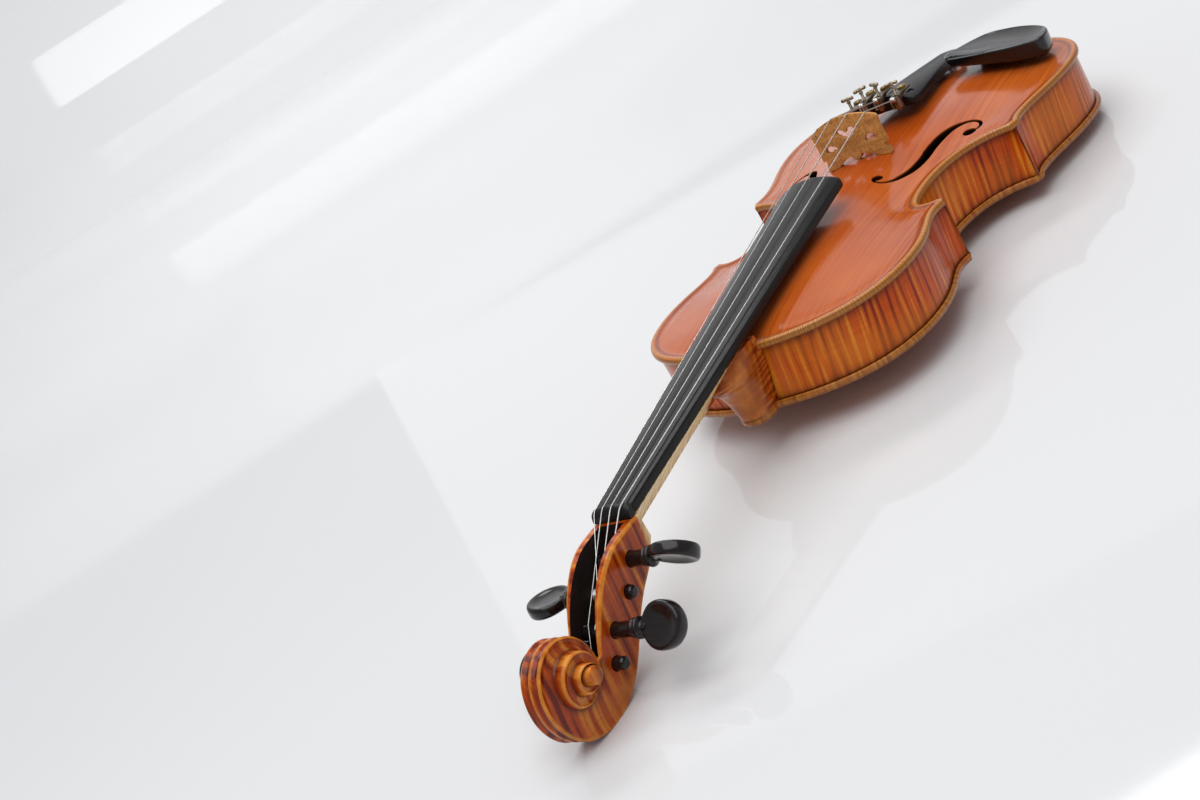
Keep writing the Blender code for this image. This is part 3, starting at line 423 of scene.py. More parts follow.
def noise(tree, vector, scale, detail=3.0, rough=0.5, distortion=0.0):
    inputs = {"Vector": vector, "Scale": scale, "Detail": detail, "Roughness": rough,
              "Distortion": distortion}
    return make(tree, "TexNoise", inputs).outputs["Fac"]


def ramp(tree, fac, stops):
    item = make(tree, "ValToRGB", {"Fac": fac})
    elements = item.color_ramp.elements
    while len(elements) < len(stops):
        elements.new(0.5)
    for element, (place, colour) in zip(elements, stops):
        element.position = place
        colour = colour if isinstance(colour, tuple) else (colour,) * 3
        element.color = (*colour, 1.0)
    return item.outputs["Color"]


def mix(tree, fac, a, b, blend="MIX"):
    item = make(tree, "Mix", data_type="RGBA", blend_type=blend)
    for index, value in ((0, fac), (6, a), (7, b)):
        if isinstance(value, bpy.types.NodeSocket):
            tree.links.new(value, item.inputs[index])
        else:
            item.inputs[index].default_value = (*value, 1.0) if isinstance(value, tuple) else value
    return item.outputs[2]


def times(tree, a, b):
    return make(tree, "Math", {0: a, 1: b}, operation="MULTIPLY").outputs[0]


def plus(tree, a, b):
    return make(tree, "Math", {0: a, 1: b}, operation="ADD").outputs[0]


def band(tree, value, low, high, soft):
    """1 between low and high, 0 outside, with soft edges."""
    rise = make(tree, "MapRange", {"Value": value, "From Min": low - soft, "From Max": low + soft})
    fall = make(tree, "MapRange", {"Value": value, "From Min": high - soft, "From Max": high + soft,
                                   "To Min": 1.0, "To Max": 0.0})
    return times(tree, rise.outputs[0], fall.outputs[0])


def attribute(tree, name, output="Fac"):
    return make(tree, "Attribute", attribute_name=name).outputs[output]


def object_space(tree):
    return make(tree, "TexCoord").outputs["Object"]


def surface(name, **sockets):
    """A new material with its Principled shader's own sockets set."""
    material = bpy.data.materials.new(name)
    material.use_nodes = True
    shader = material.node_tree.nodes["Principled BSDF"]
    for key, value in sockets.items():
        shader.inputs[key.replace("_", " ")].default_value = value
    return material, material.node_tree, shader


def feed(tree, shader, colour, roughness, height=None, depth=0.00005):
    """Link a surface's colour, its roughness and, where it has one, a bump of a depth in metres."""
    tree.links.new(colour, shader.inputs["Base Color"])
    tree.links.new(roughness, shader.inputs["Roughness"])
    if height is not None:
        bump = make(tree, "Bump", {"Height": height, "Distance": depth, "Strength": 1.0})
        tree.links.new(bump.outputs["Normal"], shader.inputs["Normal"])


def roughness_of(tree, fac, low, high):
    return make(tree, "MapRange", {"Value": fac, "To Min": low, "To Max": high}).outputs[0]


def flame_colour(tree, vector, dark, mid, gold, spacing, slant=0.0):
    """Curl figure: irregular stripes across the grain (vector x), streaked along it (vector y)."""
    across = stretch(tree, vector, (1, 1, 1), (0, 0, slant))
    wave = make(tree, "TexWave", {"Vector": stretch(tree, across, (1, 0.1, 0.3)),
                                  "Scale": WAVES_PER_UNIT / spacing, "Distortion": 7.0, "Detail": 2.0,
                                  "Detail Scale": 1.3, "Detail Roughness": 0.6},
                bands_direction="X").outputs["Fac"]
    wide = noise(tree, stretch(tree, across, (0.4 / spacing, 0.06 / spacing, 0.3 / spacing)), 1.0, 2.0)
    fine = noise(tree, stretch(tree, across, (3.2 / spacing, 0.12 / spacing, 1.0 / spacing)), 1.0, 1.0)
    fibre = noise(tree, stretch(tree, vector, (0.06 / MM, 2.1 / MM, 2.1 / MM)), 1.0, 2.0, 0.6)
    figure = plus(tree, times(tree, wave, 0.18), times(tree, wide, 0.42))
    figure = plus(tree, figure, times(tree, fine, 0.4))
    base = ramp(tree, figure, ((0.37, dark), (0.475, mid), (0.545, mid), (0.67, gold)))
    streak = ramp(tree, fibre, ((0.35, 0.62), (0.6, 1.0)))
    return mix(tree, 0.6, base, mix(tree, 1.0, base, streak, "MULTIPLY")), figure, fibre


# ---------------------------------------------------------------- materials
# Purfling: two dark lines, from and to these distances inside the plate's edge in mm.
PURFLING = ((3.8, 4.3), (4.8, 5.3))
# Dark brown of the painted shade at the plates' rims and along the ribs' edges and corners.
PAINTED_SHADE_BROWN = (0.06, 0.007, 0.001)
# Near black: the purfling's own colour, and the painted shade on the plates' unlit inner faces.
PURFLING_AND_INNER_SHADE = (0.012, 0.005, 0.002)
# A wave texture of scale s has s * 20 / (2 pi) bands in each unit of length.
WAVES_PER_UNIT = 0.314


def edge_wear_and_shade(tree, colour, ochre, tick_scale):
    """Worn band along a plate's rim, painted shade at its turned-under edge, two thin purfling lines, and
    painted shade on the unlit inner faces.
    """
    edge = attribute(tree, "edge")
    along = stretch(tree, attribute(tree, "around", "Vector"), (tick_scale, 0.5, 0.5))
    ticks = noise(tree, along, 1.0, 2.0)
    patch = noise(tree, object_space(tree), 38.0, 2.0)
    rim_wood = ramp(tree, ticks, tuple(zip((0.34, 0.5, 0.66), ochre)))
    worn = times(tree, band(tree, edge, -9.0, 2.7, 0.5), ramp(tree, patch, ((0.3, 0.7), (0.55, 1.0))))
    colour = mix(tree, worn, colour, rim_wood)
    # Painted shade along the turned-under outer rim of the plate.
    rim_shade = times(tree, band(tree, edge, 0.0, 0.5, 0.2), 0.45)
    colour = mix(tree, rim_shade, colour, PAINTED_SHADE_BROWN)
    for low, high in PURFLING:
        colour = mix(tree, times(tree, band(tree, edge, low, high, 0.12), 0.85), colour, PURFLING_AND_INNER_SHADE)
    # Painted shade on the plates' under skin and the f-hole walls, seen through the f-holes.
    unlit = ramp(tree, attribute(tree, "hidden"), ((0.05, 0.0), (0.35, 1.0)))
    return mix(tree, unlit, colour, PURFLING_AND_INNER_SHADE)


def spruce_top():
    """Glossy orange-brown varnish over fine straight grain; worn ochre edge and double purfling; painted
    shade at the rim, down the middle and on the unlit inner faces.
    """
    material, tree, shader = surface("spruce_varnished", Roughness=0.3, Specular_IOR_Level=0.26,
                                     Coat_Weight=0.1, Coat_Roughness=0.06, Coat_IOR=1.4)
    place = object_space(tree)
    rings = noise(tree, stretch(tree, place, (1.15 / MM, 0.004 / MM, 0.05 / MM)), 1.0, 1.0)
    pores = noise(tree, stretch(tree, place, (3.4 / MM, 0.06 / MM, 0.5 / MM)), 1.0, 1.0)
    cloud = noise(tree, place, 16.0, 3.0, 0.55)
    colour = ramp(tree, rings, ((0.34, (0.34, 0.045, 0.004)), (0.5, (0.45, 0.08, 0.007)),
                                (0.66, (0.52, 0.112, 0.012))))
    colour = mix(tree, roughness_of(tree, pores, 0.0, 0.3), colour, (0.4, 0.058, 0.006))
    colour = mix(tree, ramp(tree, cloud, ((0.35, 0.0), (0.7, 0.45))), colour, (0.68, 0.17, 0.024))
    # Painted shade and painted dark reflection down the middle of the belly, under the fingerboard and
    # fittings.
    colour = mix(tree, times(tree, attribute(tree, "centre"), 0.5), colour, (0.4, 0.046, 0.004))
    ochre = ((0.26, 0.07, 0.012), (0.5, 0.19, 0.035), (0.68, 0.33, 0.08))
    colour = edge_wear_and_shade(tree, colour, ochre, 1.5)
    wear = noise(tree, place, 90.0, 4.0, 0.65)
    height = plus(tree, rings, times(tree, noise(tree, place, 1300.0, 2.0), 0.3))
    feed(tree, shader, colour, roughness_of(tree, wear, 0.1, 0.24), height, 0.000012)
    return material


def maple_back():
    """Broad-flamed maple with glossy golden edges, for the back plate."""
    material, tree, shader = surface("maple_back_varnished", Roughness=0.25, Specular_IOR_Level=0.3,
                                     Coat_Weight=0.25, Coat_Roughness=0.06, Coat_IOR=1.4)
    place = stretch(tree, object_space(tree), (1, 1, 1), (0, 0, math.radians(82)))
    colour, figure, fibre = flame_colour(tree, place, (0.28, 0.032, 0.002), (0.56, 0.1, 0.008),
                                         (0.74, 0.23, 0.02), 9.0 * MM)
    ochre = ((0.34, 0.09, 0.01), (0.5, 0.17, 0.02), (0.62, 0.26, 0.04))
    colour = edge_wear_and_shade(tree, colour, ochre, 0.35)
    wear = noise(tree, object_space(tree), 90.0, 4.0, 0.65)
    feed(tree, shader, colour, roughness_of(tree, wear, 0.16, 0.34), plus(tree, fibre, figure), 0.000016)
    return material


def maple_ribs():
    """Narrow upright flames under red-orange varnish, with painted shade along the edges and at the corners.
    """
    material, tree, shader = surface("maple_rib_varnished", Roughness=0.22, Specular_IOR_Level=0.16,
                                     Coat_Weight=0.18, Coat_Roughness=0.05, Coat_IOR=1.35)
    colour, figure, fibre = flame_colour(tree, attribute(tree, "strip", "Vector"), (0.25, 0.018, 0.001),
                                         (0.68, 0.09, 0.002), (0.9, 0.3, 0.02), 5.6 * MM, slant=0.14)
    tone = noise(tree, object_space(tree), 17.0, 2.0)
    colour = mix(tree, ramp(tree, tone, ((0.36, 0.5), (0.52, 0.0))), colour, (0.4, 0.035, 0.002))
    colour = mix(tree, ramp(tree, tone, ((0.5, 0.0), (0.66, 0.55))), colour, (0.66, 0.19, 0.012))
    # Painted shade along the ribs' top and bottom edges and at the corners.
    colour = mix(tree, times(tree, attribute(tree, "shade"), 0.9), colour, PAINTED_SHADE_BROWN)
    wear = noise(tree, object_space(tree), 120.0, 4.0, 0.6)
    feed(tree, shader, colour, roughness_of(tree, wear, 0.14, 0.3), plus(tree, fibre, figure), 0.00002)
    return material


def bare_wood(name, dark, light, turn=(0, 0, 0), flecks=0.0):
    """Unvarnished wood: fine grain, faint curl and, on the bridge, short dark rays."""
    material, tree, shader = surface(name, Roughness=0.5, Specular_IOR_Level=0.25)
    place = stretch(tree, object_space(tree), (1, 1, 1), turn)
    grain = noise(tree, stretch(tree, place, (1.3 / MM, 0.06 / MM, 1.3 / MM)), 1.0, 3.0, 0.6)
    bent = stretch(tree, place, (0.03 / MM, 0.34 / MM, 0.05 / MM), (0.0, 0.0, 0.35))
    curl = noise(tree, bent, 1.0, 2.0)
    colour = ramp(tree, grain, ((0.3, dark), (0.65, light)))
    colour = mix(tree, ramp(tree, curl, ((0.42, 0.0), (0.6, 0.5))), colour, tuple(v * 0.72 for v in dark))
    if flecks:
        spots = noise(tree, stretch(tree, place, (1.9 / MM, 0.5 / MM, 1.9 / MM)), 1.0, 1.0)
        rays = ramp(tree, spots, ((0.58, 0.0), (0.66, flecks)))
        colour = mix(tree, rays, colour, tuple(v * 0.35 for v in dark))
    feed(tree, shader, colour, roughness_of(tree, grain, 0.42, 0.62), grain, 0.00004)
    return material


def ebony(name, tint, rough, streak, coat=0.0, along=(1, 0.03, 1), shine=0.3, depth=0.00001):
    """Dense black wood with faint streaks that run along its length."""
    material, tree, shader = surface(name, Roughness=0.3, Coat_Weight=coat, Coat_Roughness=0.1,
                                     Specular_IOR_Level=shine)
    place = object_space(tree)
    grain = noise(tree, stretch(tree, place, tuple(1.5 * v / MM for v in along)), 1.0, 3.0, 0.6)
    marks = noise(tree, place, 260.0, 4.0, 0.65)
    colour = ramp(tree, grain, ((0.45, tint), (0.8, streak)))
    feed(tree, shader, colour, roughness_of(tree, marks, *rough), plus(tree, grain, marks), depth)
    return material


def metal(name, bright, dull, rough=(0.22, 0.5), grime=0.4):
    """Plated metal with stains and fine wear."""
    material, tree, shader = surface(name, Metallic=1.0, Roughness=0.3)
    place = object_space(tree)
    spots = noise(tree, place, 500.0, 4.0, 0.65)
    stain = noise(tree, place, 175.0, 2.0)
    colour = ramp(tree, stain, ((0.4, bright), (0.4 + grime * 0.5, dull)))
    feed(tree, shader, colour, roughness_of(tree, spots, *rough), spots, 0.00003)
    return material


def wound(name, light, dark, pitch):
    """A wound string: fine ridges across it along the body's length, with painted shade in the grooves
    between them, pitch in mm.
    """
    material, tree, shader = surface(name, Metallic=1.0, Roughness=0.3)
    place = object_space(tree)
    scale = WAVES_PER_UNIT / (pitch * MM)
    turns = make(tree, "TexWave", {"Vector": place, "Scale": scale, "Distortion": 0.0},
                 bands_direction="Y").outputs["Fac"]
    # Darker colour in the grooves between the turns: painted shade.
    colour = ramp(tree, turns, ((0.1, dark), (0.6, light)))
    marks = noise(tree, place, 900.0, 2.0)
    feed(tree, shader, colour, roughness_of(tree, marks, 0.22, 0.45), turns, 0.00003)
    return material


def neck_wood():
    """Varnished flamed maple on the head and heel, with painted highlight on its edges and painted shade in
    its hollows; bare pale maple on the handle.
    """
    material, tree, shader = surface("maple_neck_carved", Roughness=0.2, Specular_IOR_Level=0.24,
                                     Coat_Weight=0.2, Coat_Roughness=0.05, Coat_IOR=1.4)
    space = object_space(tree)
    place = stretch(tree, space, (1, 1, 1), (0.19, math.radians(90), math.radians(90)))
    colour, _, fibre = flame_colour(tree, place, (0.15, 0.011, 0.001), (0.45, 0.058, 0.003),
                                    (0.72, 0.23, 0.022), 7.0 * MM)
    gold = ramp(tree, noise(tree, space, 240.0), ((0.35, (0.62, 0.19, 0.01)), (0.7, (0.86, 0.4, 0.06))))
    # Painted highlight: gold along the head's chamfers, cheek tops, eye and flute ridge (attribute rim).
    colour = mix(tree, times(tree, attribute(tree, "rim"), 0.6), colour, gold)
    # Painted shade down in the volute's hollows and in the flutes (attribute shade).
    colour = mix(tree, times(tree, attribute(tree, "shade"), 0.9), colour, (0.1, 0.008, 0.001))
    rubbed = ramp(tree, noise(tree, space, 70.0), ((0.35, (0.3, 0.055, 0.004)), (0.65, (0.6, 0.19, 0.03))))
    colour = mix(tree, times(tree, attribute(tree, "worn"), 0.88), colour, rubbed)
    grain = noise(tree, stretch(tree, space, (1.6 / MM, 0.09 / MM, 1.6 / MM)), 1.0, 3.0, 0.6)
    slanted = stretch(tree, space, (1, 1, 1), (math.radians(28), 0, 0))
    curl = noise(tree, stretch(tree, slanted, (0.1 / MM, 0.5 / MM, 0.06 / MM)), 1.0, 2.0, 0.5, 0.3)
    pale = ramp(tree, grain, ((0.3, (0.80, 0.55, 0.24)), (0.65, (0.95, 0.74, 0.42))))
    pale = mix(tree, ramp(tree, curl, ((0.42, 0.75), (0.56, 0.0))), pale, (0.5, 0.28, 0.09))
    bare = attribute(tree, "bare")
    wear = noise(tree, space, 120.0, 4.0, 0.6)
    rough = plus(tree, roughness_of(tree, wear, 0.10, 0.26), times(tree, bare, 0.35))
    feed(tree, shader, mix(tree, bare, colour, pale), rough, plus(tree, fibre, grain), 0.000016)
    return material


# ---------------------------------------------------------------- plates
# Rows of mesh points at these distances inside a plate's rim, then a grid of this cell size, in mm.
RIM_ROWS = (0.35, 0.8, 1.4, 2.0, 3.0, 4.2, 5.4, 7.0, 9.0, 11.5)
CELL = 3.0


def arch(xy, edge, rise, fullness):
    """Arching height above the edge: a long arch times a cross arch, flat near the edge."""
    x, y = xy[:, 0], xy[:, 1]
    along = np.clip(1 - np.abs(2 * (y - 6) / (BODY_LENGTH - 12) - 1) ** 2.6, 0, None)
    width = np.maximum(table(y, ARCH_Y, ARCH_W), 0.001)
    across = 0.5 * (1 + np.cos(math.pi * np.minimum(1.0, np.abs(x) / width) ** fullness))
    return rise * along * across * ease(edge, 4, 18)


def channel(edge, depth=0.8):
    """The shallow gutter that runs round inside the edge."""
    return depth * np.sin(math.pi * np.clip((edge - 2.2) / 9.5, 0, 1)) ** 2


def half_outline():
    """The bass half of the plates' outline, neck to tail."""
    return chain(UPPER_BOUT, OUTLINE_STEPS) + chain(WAIST, OUTLINE_STEPS) + chain(LOWER_BOUT, OUTLINE_STEPS)


def softened(points, reach=1.0):
    """The outline with its corner tips rounded a little, as handled wood is."""
    out = []
    for i, q in enumerate(points):
        p, r = points[i - 1], points[(i + 1) % len(points)]
        a, b = Vector(p) - Vector(q), Vector(r) - Vector(q)
        if a.length > 1e-6 and b.length > 1e-6 and a.angle(b) < math.radians(140):
            for t in (0.0, 0.35, 0.65, 1.0):
                start = Vector(q) + a.normalized() * min(reach, a.length)
                end = Vector(q) + b.normalized() * min(reach, b.length)
                out.append(tuple((1 - t) ** 2 * start + 2 * t * (1 - t) * Vector(q) + t * t * end))
        else:
            out.append(tuple(q))
    return out


def mirror_outline(half):
    """Both halves of an outline, from the neck down the bass side and back."""
    right = [p for p in half if p[0] > 0.01 or p[1] > 100]
    return right + [(-x, y) for x, y in reversed(right) if x > 0.01]


def f_hole_parts(side):
    """The f-hole's stem, its two eyes and its two nicks, as outlines."""
    spine = smooth(F_SPINE, 5)
    left, right = [], []
    for i, (x, y, half) in enumerate(spine):
        ax, ay, _ = spine[max(i - 1, 0)]
        bx, by, _ = spine[min(i + 1, len(spine) - 1)]
        length = math.hypot(bx - ax, by - ay)
        nx, ny = -(by - ay) / length * half, (bx - ax) / length * half
        left.append((side * (x + nx), y + ny))
        right.append((side * (x - nx), y - ny))
    parts = [left + right[::-1]]
    for x, y, radius in F_EYES:
        parts.append([(side * x + radius * math.cos(a), y + radius * math.sin(a)) for a in circle(28)])
    x, y = F_NICKS_AT
    for dx, point in ((-3.6, 1.6), (3.0, -1.6)):
        parts.append([(side * (x + dx), y + 0.9), (side * (x + dx), y - 0.9), (side * (x + dx + point), y)])
    return parts


def plan_triangles(outline, holes):
    """Points and triangles of a plate in plan: rows that follow the rim, then a staggered grid."""
    ring = outline + outline[:1]
    loop = np.asarray(outline, float)
    step = np.roll(loop, -1, 0) - np.roll(loop, 1, 0)
    normal = np.stack((-step[:, 1], step[:, 0]), 1) / np.maximum(np.linalg.norm(step, axis=1), 1e-9)[:, None]
    clouds = []
    for depth in RIM_ROWS:
        moved = loop + normal * depth
        far, _ = distances(moved, ring)
        keep = (far > depth - 0.04) & inside(moved, outline)
        if depth > 2:
            keep &= np.arange(len(loop)) % 2 == 0
        clouds.append(moved[keep])
    xs, ys = np.meshgrid(np.arange(-102, 103, CELL), np.arange(-26, 357, CELL))
    cells = np.stack((xs.ravel() + (ys.ravel() / CELL % 2) * (CELL / 2), ys.ravel()), 1)
    cells = cells[inside(cells, outline)]
    far, _ = distances(cells, ring)
    clouds.append(cells[far > RIM_ROWS[-1] + 1])
    points = [tuple(p) for p in loop] + [tuple(p) for cloud in clouds for p in cloud]
    edges = [(i, (i + 1) % len(loop)) for i in range(len(loop))]
    for hole in holes:
        start = len(points)
        points += hole
        edges += [(start + i, start + (i + 1) % len(hole)) for i in range(len(hole))]
    made, _, faces, *_ = delaunay_2d_cdt([Vector(p) for p in points], edges, [], 0, 0.0001)
    xy = np.asarray([tuple(p) for p in made], float)
    centres = np.asarray([xy[list(face)].mean(0) for face in faces])
    keep = inside(centres, outline)
    for hole in holes:
        keep &= ~inside(centres, hole)
    return xy, [tuple(face) for face, ok in zip(faces, keep) if ok]


def plate(name, outline, holes, height, under, material, node):
    """Two fine skins on one triangulation, with rounded edges and walled holes."""
    xy, faces = plan_triangles(outline, holes)
    far, around = distances(xy, outline + outline[:1])
    count = len(xy)
    edges = dict.fromkeys(edge for face in faces for edge in zip(face, face[1:] + face[:1]))
    walls = [(b, a, a + count, b + count) for a, b in edges if (b, a) not in edges]
    skins = faces + [tuple(v + count for v in reversed(face)) for face in faces] + walls
    points = np.vstack((np.column_stack((xy, height(xy, far))), np.column_stack((xy, under(xy, far)))))
    # hidden marks the under skin for painted shade; the walls fade from unshaded at the top to shaded below.
    attributes = {"edge": np.concatenate((far, far)),
                  "hidden": np.concatenate((far * 0, ease(far, 1.5, 3.0))),
                  "around": np.tile(np.column_stack((around, around * 0, around * 0)), (2, 1))}
    # centre: strength of the painted shade and dark reflection down the middle of the belly.
    if node == "top_plate":
        attributes["centre"] = np.tile(np.exp(-(xy[:, 0] / 34) ** 2) * ease(xy[:, 1], 20, 120), 2)
    mesh = tidy(mesh_of(name, points, skins, attributes), 0.000002)
    above_table(mesh)
    publish(name, mesh, "violin", material, (node,), sharp=50)


def edge_round(edge, thick, reach):
    """How far a rounded edge falls away, from thick at the rim to nothing at reach."""
    t = np.clip((reach - edge) / reach, 0, 1)
    return thick * (1 - np.sqrt(np.clip(1 - t * t, 0, 1)))


def build_top(material):
    """The belly: arched, with two f-holes and a notch for the saddle."""
    def height(xy, edge):
        return (TOP_EDGE_Z + arch(xy, edge, TOP_RISE, TOP_FULLNESS) - channel(edge)
                - edge_round(edge, 1.9, 2.0))

    def under(xy, edge):
        hollow = arch(xy, edge, TOP_RISE, TOP_FULLNESS) + (TOP_EDGE_Z - PLATE_THICKNESS - RIB_TOP_Z)
        return RIB_TOP_Z + hollow * ease(edge, *GLUE_WIDTH) + edge_round(edge, 1.0, 1.3)

    half = SADDLE_HALF + 0.2
    notch = [(-half, 348.7), (half, 348.7), (half, 362), (-half, 362)]
    holes = [*f_hole_parts(1), *f_hole_parts(-1), notch]
    outline = softened(mirror_outline(half_outline()))
    plate("belly", outline, holes, height, under, material, "top_plate")


def build_back(material):
    """The back: arched the other way, with the round button under the heel."""
    def height(xy, edge):
        button = 1 - ease(xy[:, 1], -1, 8)
        return (BACK_EDGE_Z - arch(xy, edge, BACK_RISE, BACK_FULLNESS) + channel(edge) * (1 - button)
                + edge_round(edge, 1.9, 2.0))

    def under(xy, edge):
        hollow = arch(xy, edge, BACK_RISE, BACK_FULLNESS) + (RIB_BOTTOM_Z - BACK_EDGE_Z - PLATE_THICKNESS)
        return RIB_BOTTOM_Z - hollow * ease(edge, *GLUE_WIDTH) - edge_round(edge, 1.0, 1.3)

    half = [p for p in half_outline() if p[0] > BUTTON_RADIUS or p[1] > 100]
    reach = BUTTON_REACH - BUTTON_RADIUS
    tip = [(0.0, -BUTTON_REACH)]
    button = [(BUTTON_RADIUS * math.sin(a), -reach - BUTTON_RADIUS * math.cos(a))
              for a in (math.pi / 2 * i / 12 for i in range(1, 13))]
    outline = tip + softened(mirror_outline(tip + button + [(BUTTON_RADIUS, 0.05)] + half), 0.6)
    plate("back", outline, [], height, under, material, "back_plate")


def rib_paths():
    """The three ribs of one side in plan, meeting in a mitre at each corner."""
    bouts = (UPPER_BOUT, WAIST, LOWER_BOUT)
    upper, waist, lower = (offset(chain(bout, OUTLINE_STEPS), OVERHANG) for bout in bouts)
    tip, i, j = crossing(extended(upper, 6), extended(waist, 6))
    upper = [p for p in upper[:i] if p[0] > 8] + [tip]
    waist = [tip] + waist[max(j, 1):]
    tip, i, j = crossing(extended(waist, 6), extended(lower, 6))
    waist = waist[:i] + [tip]
    lower = [tip] + [p for p in lower[max(j, 1):] if p[0] > 0.05] + [(0.05, lower[-1][1])]
    return upper, waist, lower


def build_ribs(material):
    """Six bent ribs, with their length and height as attributes for the flames, and painted shade along their
    edges and at the corners.
    """
    levels = (RIB_BOTTOM_Z, 16.0, 17.5, 20.0, 30.0, 41.0, 43.5, 45.0, RIB_TOP_Z)
    count = 2 * len(levels)
    paths = rib_paths()
    for label, side in (("bass", 1), ("treble", -1)):
        for k, (bout, path) in enumerate(zip(("upper", "waist", "lower"), paths)):
            points, strip, shade = [], [], []
            run = 0.0
            for n, ((x, y), (u, v)) in enumerate(zip(path, offset(path, RIB_THICKNESS))):
                if n:
                    run += math.hypot(x - path[n - 1][0], y - path[n - 1][1])
                # Painted shade: at the corners where the waist and lower ribs start, and along the top and
                # bottom edges under the plates' overhang.
                corner = math.exp(-(run / 3.0) ** 2) if bout != "upper" else 0.0
                for px, py, z in [(x, y, z) for z in levels] + [(u, v, z) for z in reversed(levels)]:
                    points.append((side * px, py, z))
                    strip.append((run * MM, z * MM, (k * 2 + (side > 0)) * 0.31))
                    overhang_shade = math.exp(-(z - RIB_BOTTOM_Z) / 2.0) + math.exp(-(RIB_TOP_Z - z) / 2.6)
                    shade.append(min(0.95, 0.6 * corner + 0.9 * overhang_shade))
            faces = grid_faces(len(path), count, closed=True)
            faces += [tuple(range(count)), tuple(range(len(points) - count, len(points)))]
            mesh = mesh_of(f"rib_{bout}_{label}_shell", points, faces, {"strip": strip, "shade": shade})
            publish(f"rib_{bout}_{label}_shell", tidy(mesh), "violin", material,
                    (f"rib_{bout}_{label}",), sharp=55)


# ---------------------------------------------------------------- neck, pegbox and scroll
BOARD_Y = (-130.0, 134.0)
BOARD_HALF = (11.8, 21.0)
BOARD_RADIUS = 42.0
BOARD_EDGE = 4.6
BOARD_CROWN_AT_0 = 64.6
BOARD_SLOPE = 0.1185
NUT_LENGTH = 4.6
GAP = 0.3

# Pegs: name, hole centre (y, z), side of the head, direction its flat face looks (y, z)
PEGS = (("G", (-149.2, 30.4), 1, (-0.77, -0.64)), ("E", (-160.5, 20.5), -1, (0.1, 0.99)),
        ("D", (-178.4, 13.3), 1, (-0.8, 0.6)), ("A", (-187.6, 2.0), -1, (-0.7, 0.71)))
PEG_AT = {name: (centre, side) for name, centre, side, _ in PEGS}
# The shaft's radius inside the pegbox, from its far end to the head's side, as (x, radius).
PEG_TAPER = ((-14.2, 12.0), (3.15, 3.75))

# The volute about its eye: turn angle (degrees, from the body, over the top) with the
# spiral's radius, its half width and the half width of the hollow's foot inside it.
EYE = (-210.5, 14.7)
EYE_RADIUS = 4.3
EYE_HALF = 21.0
SPIRAL = ((-720, 4.3, 21.0, 20.5), (-680, 4.9, 20.2, 19.2), (-630, 6.0, 18.6, 17.4), (-540, 7.4, 16.4, 15.6),
          (-450, 8.8, 15.4, 15.0), (-360, 10.3, 14.6, 14.4), (-270, 11.4, 13.4, 13.2),
          (-180, 12.8, 12.0, 11.9), (-90, 14.6, 10.2, 10.4), (0, 16.5, 8.6, 8.9), (45, 17.5, 7.1, 8.0),
          (90, 19.0, 6.4, 7.6),
          (135, 20.3, 6.1, 7.3), (180, 22.0, 6.1, 7.2), (215, 25.0, 6.5, 7.4), (245, 29.0, 7.0, 7.7),
          (275, 32.5, 8.0, 8.1), (296, 35.0, 9.0, 8.4), (318, 38.0, 10.0, 8.7), (335, 41.7, 10.9, 8.9),
          (343, 44.6, 11.2, 9.0))
SPIRAL_END = 343
SPIRAL_STEP = 5
PER_TURN = 360 // SPIRAL_STEP
PEGBOX_STEPS = 3
BAND_STEPS = 20
FLUTE_DEPTH = 1.35
# Pegbox stations: cheek top and back of the cheek, as (y, z) each, with the half width.
PEGBOX = (((-193.4, 11.0), (-166.4, 3.0), 9.2, 11.3), ((-190.5, 15.2), (-164.6, 4.6), 9.5, 11.4),
          ((-186.9, 19.8), (-162.2, 6.6), 10.1, 11.6), ((-178.9, 28.3), (-157.0, 10.6), 10.9, 11.9),
          ((-170.0, 35.3), (-151.0, 14.4), 11.6, 12.1), ((-160.8, 40.1), (-146.0, 17.0), 12.2, 12.3),
          ((-152.4, 42.3), (-141.0, 19.6), 12.6, 12.4), ((-142.0, 42.6), (-136.5, 23.2), 12.9, 12.4),
          ((-134.0, 42.5), (-131.8, 27.0), 12.6, 12.2), ((-130.4, 42.4), (-130.2, 28.4), 12.3, 12.0))


# A flat outline's x and y become the body's y and z, or its x and z.
SIDE_VIEW = Matrix(((0, 0, 1, 0), (1, 0, 0, 0), (0, 1, 0, 0), (0, 0, 0, 1)))
FRONT_VIEW = Matrix(((1, 0, 0, 0), (0, 0, -1, 0), (0, 1, 0, 0), (0, 0, 0, 1)))
UNTURN = BODY.inverted()


def board_crown(y):
    """Height of the fingerboard's middle line."""
    return BOARD_CROWN_AT_0 + BOARD_SLOPE * y


def board_half(y):
    """Half the fingerboard's width."""
    return float(np.interp(y, BOARD_Y, BOARD_HALF))


def board_under(y):
    """Height of the fingerboard's flat underside, where the neck is glued."""
    half = board_half(y)
    return board_crown(y) - (BOARD_RADIUS - math.sqrt(BOARD_RADIUS ** 2 - half ** 2)) - BOARD_EDGE


def around_eye(radius, angle):
    """A (y, z) place round the volute's eye."""
    a = math.radians(angle)
    return EYE[0] + radius * math.cos(a), EYE[1] + radius * math.sin(a)


